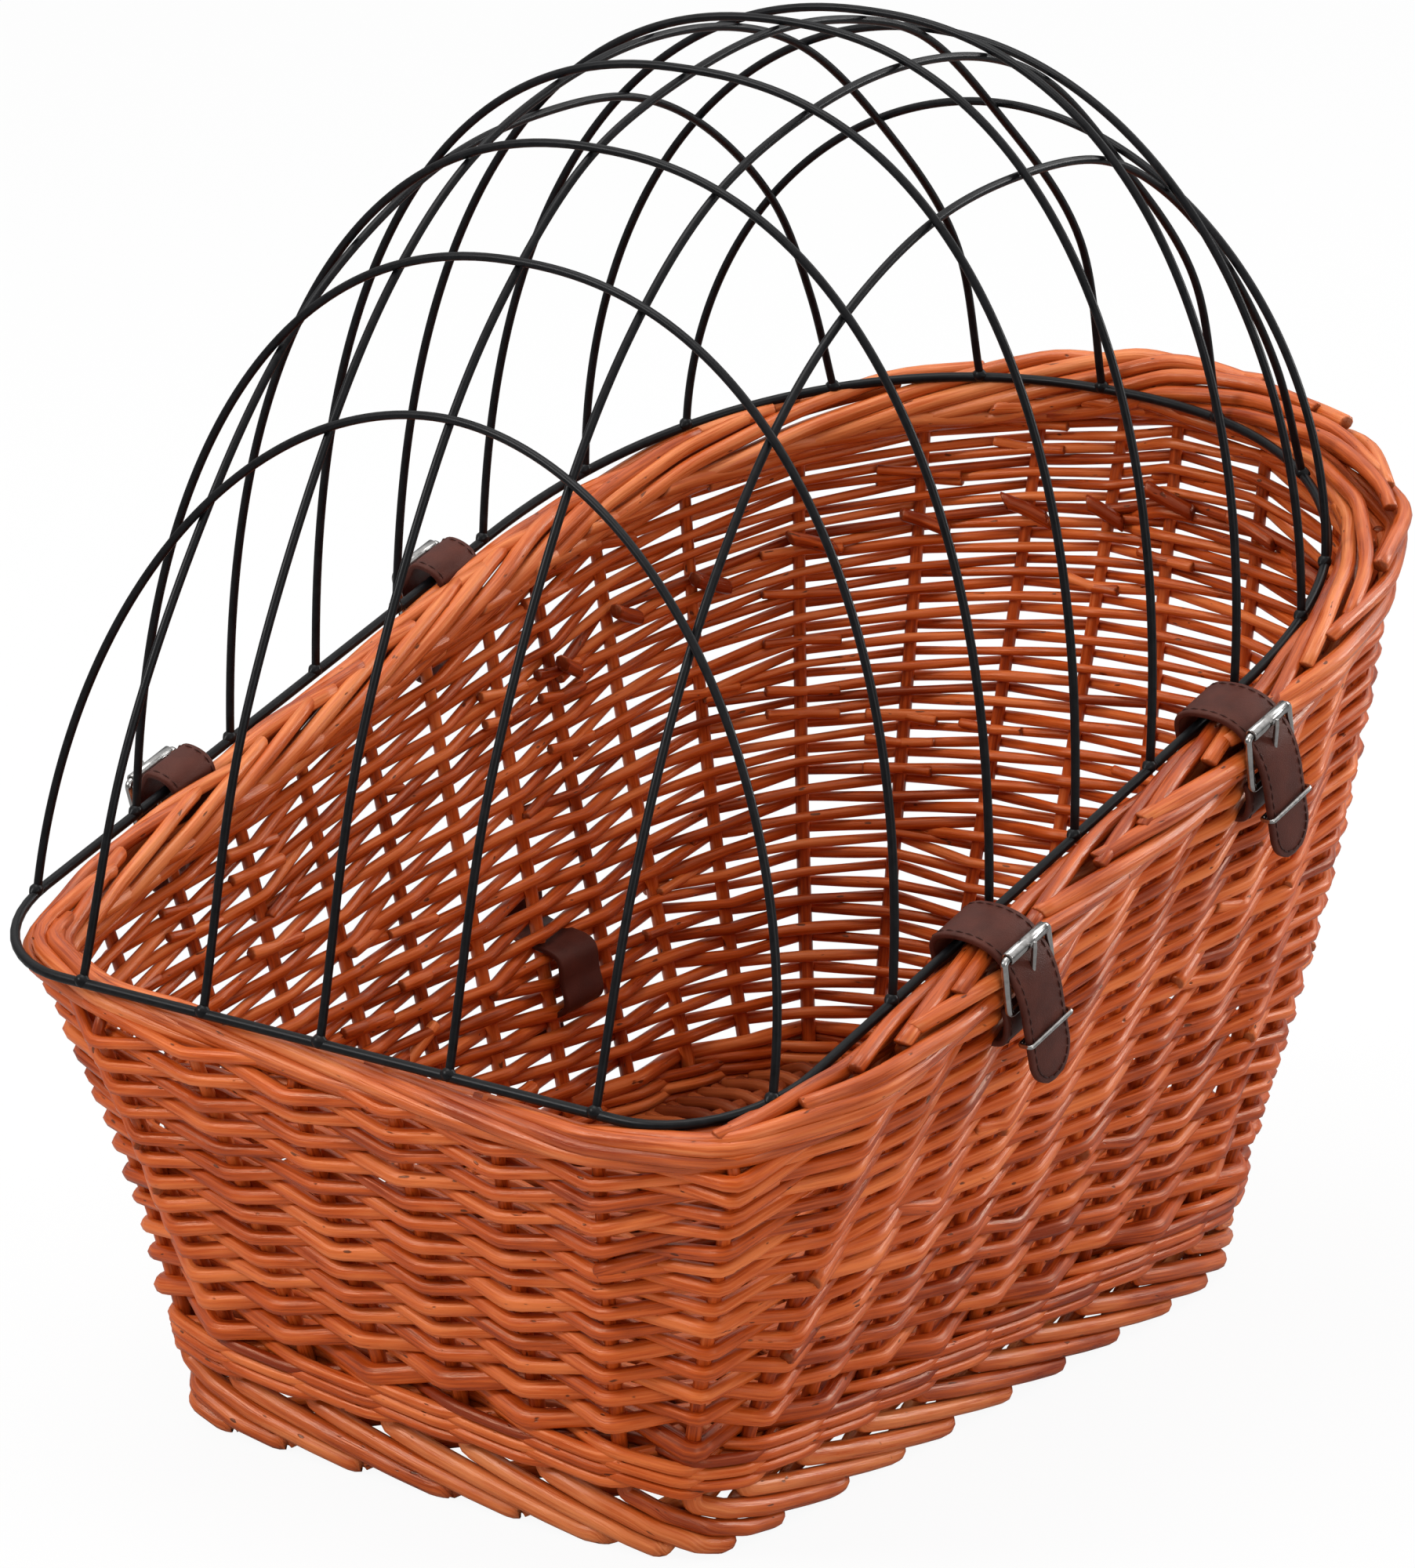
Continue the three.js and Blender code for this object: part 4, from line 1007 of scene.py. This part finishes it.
strap = dict(width=0.025, thick=0.0026, slack=0.0034, rise=0.004, tail=0.035, joinRise=0.008, bend=0.012, sag=0.015,
             turnShare=0.72, shoulderShare=0.6, crossShare=0.7, crossPlace=0.012, left=(0.131, 0.300),
             right=(0.1465, 0.310), step=0.0012, edge=0.0009, endThick=0.6, leastTip=0.004)
stitch = dict(inset=0.0023, gap=0.0042, length=0.0030, radius=0.00034, first=0.003, last=0.002,
              widths=(0.8, 1, 0.8), lifts=(-0.0001, 0.0002, -0.0001), tipCount=9, tipStep=20, tipHalf=0.13,
              tipLift=0.0001, ref=(0.3, 0.5, 0.8))
buckle = dict(width=0.029, length=0.023, lean=math.radians(3), bar=0.0015, corner=0.0022, rollerWall=0.0008,
              rollerRise=0.003, rollerReach=0.0025, rollerGap=0.0019, rollerEdge=0.0003, rollerTurns=28,
              prongThick=0.0022, prongEye=0.0011, prongStart=330, prongEnd=100, eyeRadius=0.0010,
              armRadii=(0.0012, 0.0011), tipRadii=(0.0010, 0.0007), keeperWire=0.001, keeperCorner=0.0014,
              keeperDepth=0.033, gap=0.0003, armStart=0.16, loopStep=0.002)
halfLeather = strap["thick"] / 2
rollerOuter = buckle["bar"] + buckle["gap"] + buckle["rollerWall"]
prongEye = buckle["bar"] + buckle["gap"] + buckle["prongEye"]
buckleAlong = np.array([math.sin(buckle["lean"]), math.cos(buckle["lean"])])
buckleOut = np.array([math.cos(buckle["lean"]), -math.sin(buckle["lean"])])


def strapPlan(side):
    sideDrop = math.sqrt(borderOffset ** 2 - border["sideReach"] ** 2)
    mid = np.array([side * border["sideReach"], -sideDrop])
    roller = np.array([max(mid[0] + border["radius"], strap["bend"]) + buckle["rollerReach"], buckle["rollerRise"]])
    heel = roller - buckleAlong * buckle["length"]

    def onBuckle(along, out):
        return heel + buckleAlong * along + buckleOut * out

    return dict(border=mid, heel=heel,
                underRoller=onBuckle(buckle["length"], -rollerOuter - buckle["rollerGap"] - halfLeather),
                cross=onBuckle(strap["crossPlace"], strap["thick"] * strap["crossShare"]),
                overHeel=onBuckle(0, prongEye + buckle["gap"] + halfLeather),
                behindHeel=onBuckle(0, -prongEye - buckle["gap"] - halfLeather),
                innerRun=-rim["wire"] - strap["slack"] - halfLeather,
                slotLevel=mid[1] - border["radius"] - strap["sag"])


def billetPath(plan, start):
    top = rim["wire"] + strap["rise"] + halfLeather
    inner, under, over = plan["innerRun"], plan["underRoller"], plan["overHeel"]
    return [(inner, start), (inner, plan["border"][1]), (inner, rim["wire"]),
            (inner * strap["turnShare"], 2.5 * rim["wire"]), (0, top), (under[0] * strap["shoulderShare"], top),
            tuple(under), tuple(plan["cross"]), tuple(over), (over[0], over[1] - 4 * halfLeather),
            (over[0], over[1] - strap["tail"])]


def wholePath(plan):
    behind, inner, slot = plan["behindHeel"], plan["innerRun"], plan["slotLevel"]
    return [tuple(behind), (behind[0], behind[1] - 2 * strap["thick"]), (rim["wire"], slot),
            (inner * strap["shoulderShare"], slot + halfLeather), (inner, slot + 3 * strap["thick"]),
            *billetPath(plan, 0)[1:]]


def chapePath(plan, end):
    behind, inner, slot, mid = plan["behindHeel"], plan["innerRun"], plan["slotLevel"], plan["border"]
    return [tuple(behind), (behind[0], (behind[1] + slot) / 2), (mid[0] + border["radius"] / 2, slot + halfLeather),
            (mid[0], slot), (mid[0] - border["radius"] * strap["crossShare"], slot + halfLeather / 2),
            (inner + halfLeather, slot + 1.5 * strap["thick"]), (inner, end - strap["thick"]), (inner, end)]


def strapMatrix(side, place):
    turn = Matrix.Rotation(rim["tilt"], 3, "X") @ Matrix.Rotation(math.pi if side < 0 else 0, 3, "Z")
    return np.array(turn), np.array([side * rim["halfWidth"], place, rimHeight(place)])


def placed(points, matrix):
    turn, origin = matrix
    return np.asarray(points) @ turn.T + origin


def evenLine(points, step):
    length = lengthsAlong(points)
    places = np.linspace(0, length[-1], max(int(length[-1] / step), 8))
    return np.column_stack([np.interp(places, length, points[:, i]) for i in range(points.shape[1])]), places


def roundedCorners(halfX, halfY, corner, count):
    pts = []
    for cx, cy, start in ((1, 1, 0), (-1, 1, 90), (-1, -1, 180), (1, -1, 270)):
        for i in range(count + 1):
            a = math.radians(start + 90 * i / count)
            pts.append((cx * (halfX - corner) + corner * math.cos(a), cy * (halfY - corner) + corner * math.sin(a)))
    return pts


# faces of rings of n points each, joined in rows
def ringFaces(n, rows, ringCount):
    return [(i * n + j, i * n + (j + 1) % n, (i + 1) % ringCount * n + (j + 1) % n, (i + 1) % ringCount * n + j)
            for i in range(rows) for j in range(n)]


def leatherStrip(name, path, matrix, roundTip, body, replaced):
    curve = smoothCurve([(v, 0, w) for v, w in path], 16)
    line, places = evenLine(curve, strap["step"])
    tangent = unit(np.gradient(line, axis=0))
    face = np.column_stack([tangent[:, 2], np.zeros(len(line)), -tangent[:, 0]])
    halfWidth = strap["width"] / 2
    total = places[-1]
    profile = np.array(roundedCorners(halfWidth, halfLeather, strap["edge"], 3))
    verts = []
    for i, (point, across, place) in enumerate(zip(line, face, places)):
        width = 1.0
        left = total - place
        if roundTip and left < halfWidth:
            width = math.sqrt(max(1 - ((halfWidth - left) / halfWidth) ** 2, strap["leastTip"]))
        thick = 1.0 if 0 < i < len(line) - 1 else strap["endThick"]
        for e, f in profile:
            verts.append(point + np.array([0, 1, 0]) * e * width + across * f * thick)
    n = len(profile)
    faces = ringFaces(n, len(line) - 1, len(line))
    faces.append(tuple(range(n - 1, -1, -1)))
    faces.append(tuple((len(line) - 1) * n + j for j in range(n)))
    mesh = bpy.data.meshes.new(name)
    mesh.from_pydata((placed(verts, matrix) + shift).tolist(), [], faces)
    finishObject(name, mesh, leather, body, replaced)

    def onFace(x, e, lift):
        p = np.array([np.interp(x, places, line[:, i]) for i in range(3)])
        q = np.array([np.interp(x, places, face[:, i]) for i in range(3)])
        return p - q * (halfLeather + lift) + np.array([0, e, 0])

    stitches = newBundle()
    radii = stitch["radius"] * np.array(stitch["widths"])
    inset = halfWidth - stitch["inset"]
    last = total - (halfWidth if roundTip else stitch["last"])
    place = stitch["first"]
    while place < last:
        ends = (place - stitch["length"] / 2, place, place + stitch["length"] / 2)
        for e in (-inset, inset):
            pts = [onFace(x, e, lift) for lift, x in zip(stitch["lifts"], ends)]
            addRod(stitches, placed(pts, matrix), radii, 6, ref=stitch["ref"])
        place += stitch["gap"]
    tipCentre = total - halfWidth
    for i in range(stitch["tipCount"] if roundTip else 0):
        a = math.radians(stitch["tipStep"] * (i - (stitch["tipCount"] - 1) / 2))
        pts = [onFace(tipCentre + inset * math.cos(b), inset * math.sin(b), stitch["tipLift"])
               for b in (a - stitch["tipHalf"], a, a + stitch["tipHalf"])]
        addRod(stitches, placed(pts, matrix), stitch["radius"], 6, ref=stitch["ref"])
    rodObject(name + "_stitches", stitches, thread, body, "leather")


def roundedLoop(halfX, halfY, corner, count):
    pts = roundedCorners(halfX, halfY, corner, count)
    dense = []
    for a, b in zip(pts, pts[1:] + pts[:1]):
        gap = math.dist(a, b)
        parts = max(int(gap / buckle["loopStep"]), 1)
        dense += [(mix(a[0], b[0], t / parts), mix(a[1], b[1], t / parts)) for t in range(parts)]
    return dense


def bucklePoint(plan, along, out, across):
    v, w = plan["heel"] + buckleAlong * along + buckleOut * out
    return (v, across, w)


def makeFrame(label, plan, matrix, body):
    pts = [bucklePoint(plan, x + buckle["length"] / 2, 0, y)
           for x, y in roundedLoop(buckle["length"] / 2, buckle["width"] / 2, buckle["corner"], 6)]
    normal = matrix[0] @ np.array([buckleOut[0], 0, buckleOut[1]])
    singleRod(f"buckle_frame_{label}", placed(pts, matrix), buckle["bar"], 12, normal, True,
              nickel, body, "nickel", (f"buckle_{label}",))


def makeRoller(label, plan, matrix):
    half = buckle["width"] / 2 - buckle["corner"] - buckle["gap"]
    inner = buckle["bar"] + buckle["gap"]
    edge = buckle["rollerEdge"]
    profile = [(-half, inner), (-half, rollerOuter - edge), (-half + edge, rollerOuter), (0, rollerOuter),
               (half - edge, rollerOuter), (half, rollerOuter - edge), (half, inner), (0, inner)]
    verts = []
    for i in range(buckle["rollerTurns"]):
        a = 2 * math.pi * i / buckle["rollerTurns"]
        verts += [bucklePoint(plan, buckle["length"] + r * math.cos(a), r * math.sin(a), y) for y, r in profile]
    faces = ringFaces(len(profile), buckle["rollerTurns"], buckle["rollerTurns"])
    mesh = bpy.data.meshes.new("roller")
    mesh.from_pydata((placed(verts, matrix) + shift).tolist(), [], faces)
    finishObject(f"roller_tube_{label}", mesh, nickel, f"roller_{label}", (f"roller_{label}",))


# the prong's eye is round the heel bar, and its arm rests on the roller
def makeProng(label, plan, matrix):
    rise = rollerOuter + buckle["gap"] + buckle["prongThick"] / 2
    arm = math.asin(rise / buckle["length"])
    eye = buckle["bar"] + buckle["gap"] + buckle["prongThick"] / 2
    turns = np.linspace(arm + math.radians(buckle["prongStart"]), arm + math.radians(buckle["prongEnd"]), 14)
    pts = [bucklePoint(plan, eye * math.cos(a), eye * math.sin(a), 0) for a in turns]
    tip = buckle["length"] * math.cos(arm) + rollerOuter
    pts += [bucklePoint(plan, tip * share * math.cos(arm), tip * share * math.sin(arm), 0)
            for share in np.linspace(buckle["armStart"], 1.0, 12)]
    radii = np.concatenate([np.full(len(turns), buckle["eyeRadius"]), np.linspace(*buckle["armRadii"], 10),
                            buckle["tipRadii"]])
    across = matrix[0] @ np.array([0, 1.0, 0])
    singleRod(f"prong_pin_{label}", placed(pts, matrix), radii, 10, across, False,
              nickel, f"prong_{label}", "nickel", (f"prong_{label}",))


def makeKeeper(label, plan, matrix):
    margin = buckle["gap"] + buckle["keeperWire"]
    pts = [(plan["overHeel"][0] + x, y, -buckle["keeperDepth"])
           for x, y in roundedLoop(halfLeather + margin, strap["width"] / 2 + margin, buckle["keeperCorner"], 5)]
    up = matrix[0] @ np.array([0, 0, 1.0])
    singleRod(f"keeper_loop_{label}", placed(pts, matrix), buckle["keeperWire"], 10, up, True,
              nickel, f"keeper_{label}", "nickel", (f"keeper_{label}",))


def makeStraps():
    for side, name, places in ((-1, "left", strap["left"]), (1, "right", strap["right"])):
        plan = strapPlan(side)
        for row, place in zip(("front", "rear"), places):
            label = f"{name}_{row}"
            matrix = strapMatrix(side, place)
            if side < 0:
                leatherStrip(f"leather_{label}", wholePath(plan), matrix, True, "basket", (f"strap_{label}",))
            else:
                join = plan["slotLevel"] + strap["joinRise"]
                leatherStrip(f"leather_{label}_billet", billetPath(plan, join + buckle["gap"]), matrix, True,
                             "dome", (f"strap_{label}_billet",))
                leatherStrip(f"leather_{label}_chape", chapePath(plan, join), matrix, False,
                             "basket", (f"strap_{label}_chape",))
            makeFrame(label, plan, matrix, "basket" if side < 0 else "dome")
            makeRoller(label, plan, matrix)
            makeProng(label, plan, matrix)
            makeKeeper(label, plan, matrix)
    print("straps ready")


makeStraps()


# tether strap in the left wall

tether = dict(place=0.327, height=0.106, span=0.032, end=0.014, clearance=0.003, belly=0.0003)


def tetherMatrix():
    z = tether["height"]
    left = [s for s in range(stakes["rest"] + 1) if stakePoint(s, z)[0] < 0 and stakeK[s] > stationCount / 2]
    pts = sorted((stakePoint(s, z)[1], s) for s in left)
    i = next(k for k in range(1, len(pts)) if pts[k][0] > tether["place"])
    (y0, s0), (y1, s1) = pts[i - 1], pts[i]
    t = (tether["place"] - y0) / (y1 - y0)
    centre = mix(stakePoint(s0, z), stakePoint(s1, z), t)
    up = unit(mix(stakeTop[s0] - stakeFoot[s0], stakeTop[s1] - stakeFoot[s1], t))
    out = unit(mix(stakeOut(s0, z), stakeOut(s1, z), t))
    return np.column_stack([out, np.cross(up, out), up]), centre


def makeTether():
    side = wall["rib"] / 2 + halfLeather + tether["clearance"]
    half = tether["span"] / 2
    bend = strap["thick"] * 2
    upper = [(side, half + bend + tether["end"]), (side, half + bend), (0, half), (-side, half - bend)]
    path = upper + [(-side - tether["belly"], 0)] + [(v, -w) for v, w in reversed(upper)]
    leatherStrip("tether_leather", path, tetherMatrix(), False, "basket", ("tether_strap",))
    print("tether ready")


makeTether()


# floor, light and camera

studio = dict(size=6.0, floor=0.66, mirrored=0.28, floorGlow=0.93, floorRough=0.9, sky=(0.0, 0.95, 0.30, 1.45),
              lampTarget=(0, 0, 0.25))
view = dict(target=(0.0, 0.23357, 0.24051), azimuth=36.31, elevation=17.765, distance=3.03217, focal=9915.7,
            frameHeight=2000, sensor=36.0, clip=(0.05, 60))
lamps = dict(top_soft=dict(place=(-0.3, -0.1, 2.3), size=1.2, power=19),
             right_soft=dict(place=(1.5, 2.2, 1.1), size=0.7, power=26),
             side_fill=dict(place=(2.2, -0.9, 0.9), size=1.0, power=10),
             front_soft=dict(place=(-1.3, -2.0, 1.8), size=0.8, power=33),
             back_soft=dict(place=(0.5, 2.2, 1.9), size=1.2, power=12))


def blendShaders(tree, factor, a, b, output):
    blend = node(tree, "ShaderNodeMixShader")
    for socket, value in zip(blend.inputs, (factor, a.outputs[0], b.outputs[0])):
        tree.links.new(value, socket)
    tree.links.new(blend.outputs[0], output.inputs["Surface"])


# white to the camera, pale to the light, darker in the gloss of the rods
def makeFloor():
    mesh = bpy.data.meshes.new("studio_floor")
    size = studio["size"]
    mesh.from_pydata([(-size, -size, 0), (size, -size, 0), (size, size, 0), (-size, size, 0)], [], [(0, 1, 2, 3)])
    material, tree, shader = newMaterial("paleFloor")
    shader.inputs["Roughness"].default_value = studio["floorRough"]
    path = node(tree, "ShaderNodeLightPath")
    shade = blendColor(tree, path.outputs["Is Glossy Ray"], (studio["floor"],) * 3, (studio["mirrored"],) * 3)
    feed(tree, shader.inputs["Base Color"], shade)
    glow = node(tree, "ShaderNodeEmission")
    output = next(n for n in tree.nodes if n.type == "OUTPUT_MATERIAL")
    seen = multiplied(tree, path.outputs["Is Camera Ray"], studio["floorGlow"])
    blendShaders(tree, seen, shader, glow, output)
    mesh.materials.append(material)
    floor = bpy.data.objects.new("studio_floor", mesh)
    scene.collection.objects.link(floor)


def makeWorld():
    world = bpy.data.worlds.new("studio")
    scene.world = world
    world.use_nodes = True
    tree = world.node_tree
    tree.nodes.clear()
    path = node(tree, "ShaderNodeLightPath")
    light = node(tree, "ShaderNodeBackground")
    way = node(tree, "ShaderNodeSeparateXYZ")
    tree.links.new(node(tree, "ShaderNodeTexCoord").outputs["Generated"], way.inputs[0])
    sky = node(tree, "ShaderNodeMapRange", interpolation_type="SMOOTHSTEP")
    for label, value in zip(("From Min", "From Max", "To Min", "To Max"), studio["sky"]):
        sky.inputs[label].default_value = value
    tree.links.new(way.outputs["Z"], sky.inputs["Value"])
    tree.links.new(sky.outputs["Result"], light.inputs["Strength"])
    white = node(tree, "ShaderNodeBackground")
    blendShaders(tree, path.outputs["Is Camera Ray"], light, white, node(tree, "ShaderNodeOutputWorld"))


def aimed(name, data, place, way):
    obj = bpy.data.objects.new(name, data)
    obj.location = place
    obj.rotation_mode = "QUATERNION"
    obj.rotation_quaternion = way.to_track_quat("-Z", "Y")
    scene.collection.objects.link(obj)
    return obj


def addLamp(name, place, size, power):
    lamp = bpy.data.lights.new(name, "AREA")
    lamp.size = size
    lamp.energy = power
    aimed(name, lamp, place, Vector(studio["lampTarget"]) - Vector(place))


def makeCamera():
    a = math.radians(view["azimuth"])
    e = math.radians(view["elevation"])
    back = Vector((math.sin(a) * math.cos(e), -math.cos(a) * math.cos(e), math.sin(e)))
    data = bpy.data.cameras.new("photo_camera")
    data.sensor_width = view["sensor"]
    data.lens = data.sensor_width * view["focal"] / view["frameHeight"]
    data.clip_start, data.clip_end = view["clip"]
    place = Vector(view["target"]) + Vector(shift) + back * view["distance"]
    scene.camera = aimed("photo_camera", data, place, -back)


makeFloor()
makeWorld()
for name, values in lamps.items():
    addLamp(name, **values)
makeCamera()
scene.view_settings.view_transform = "Standard"
print("studio ready")
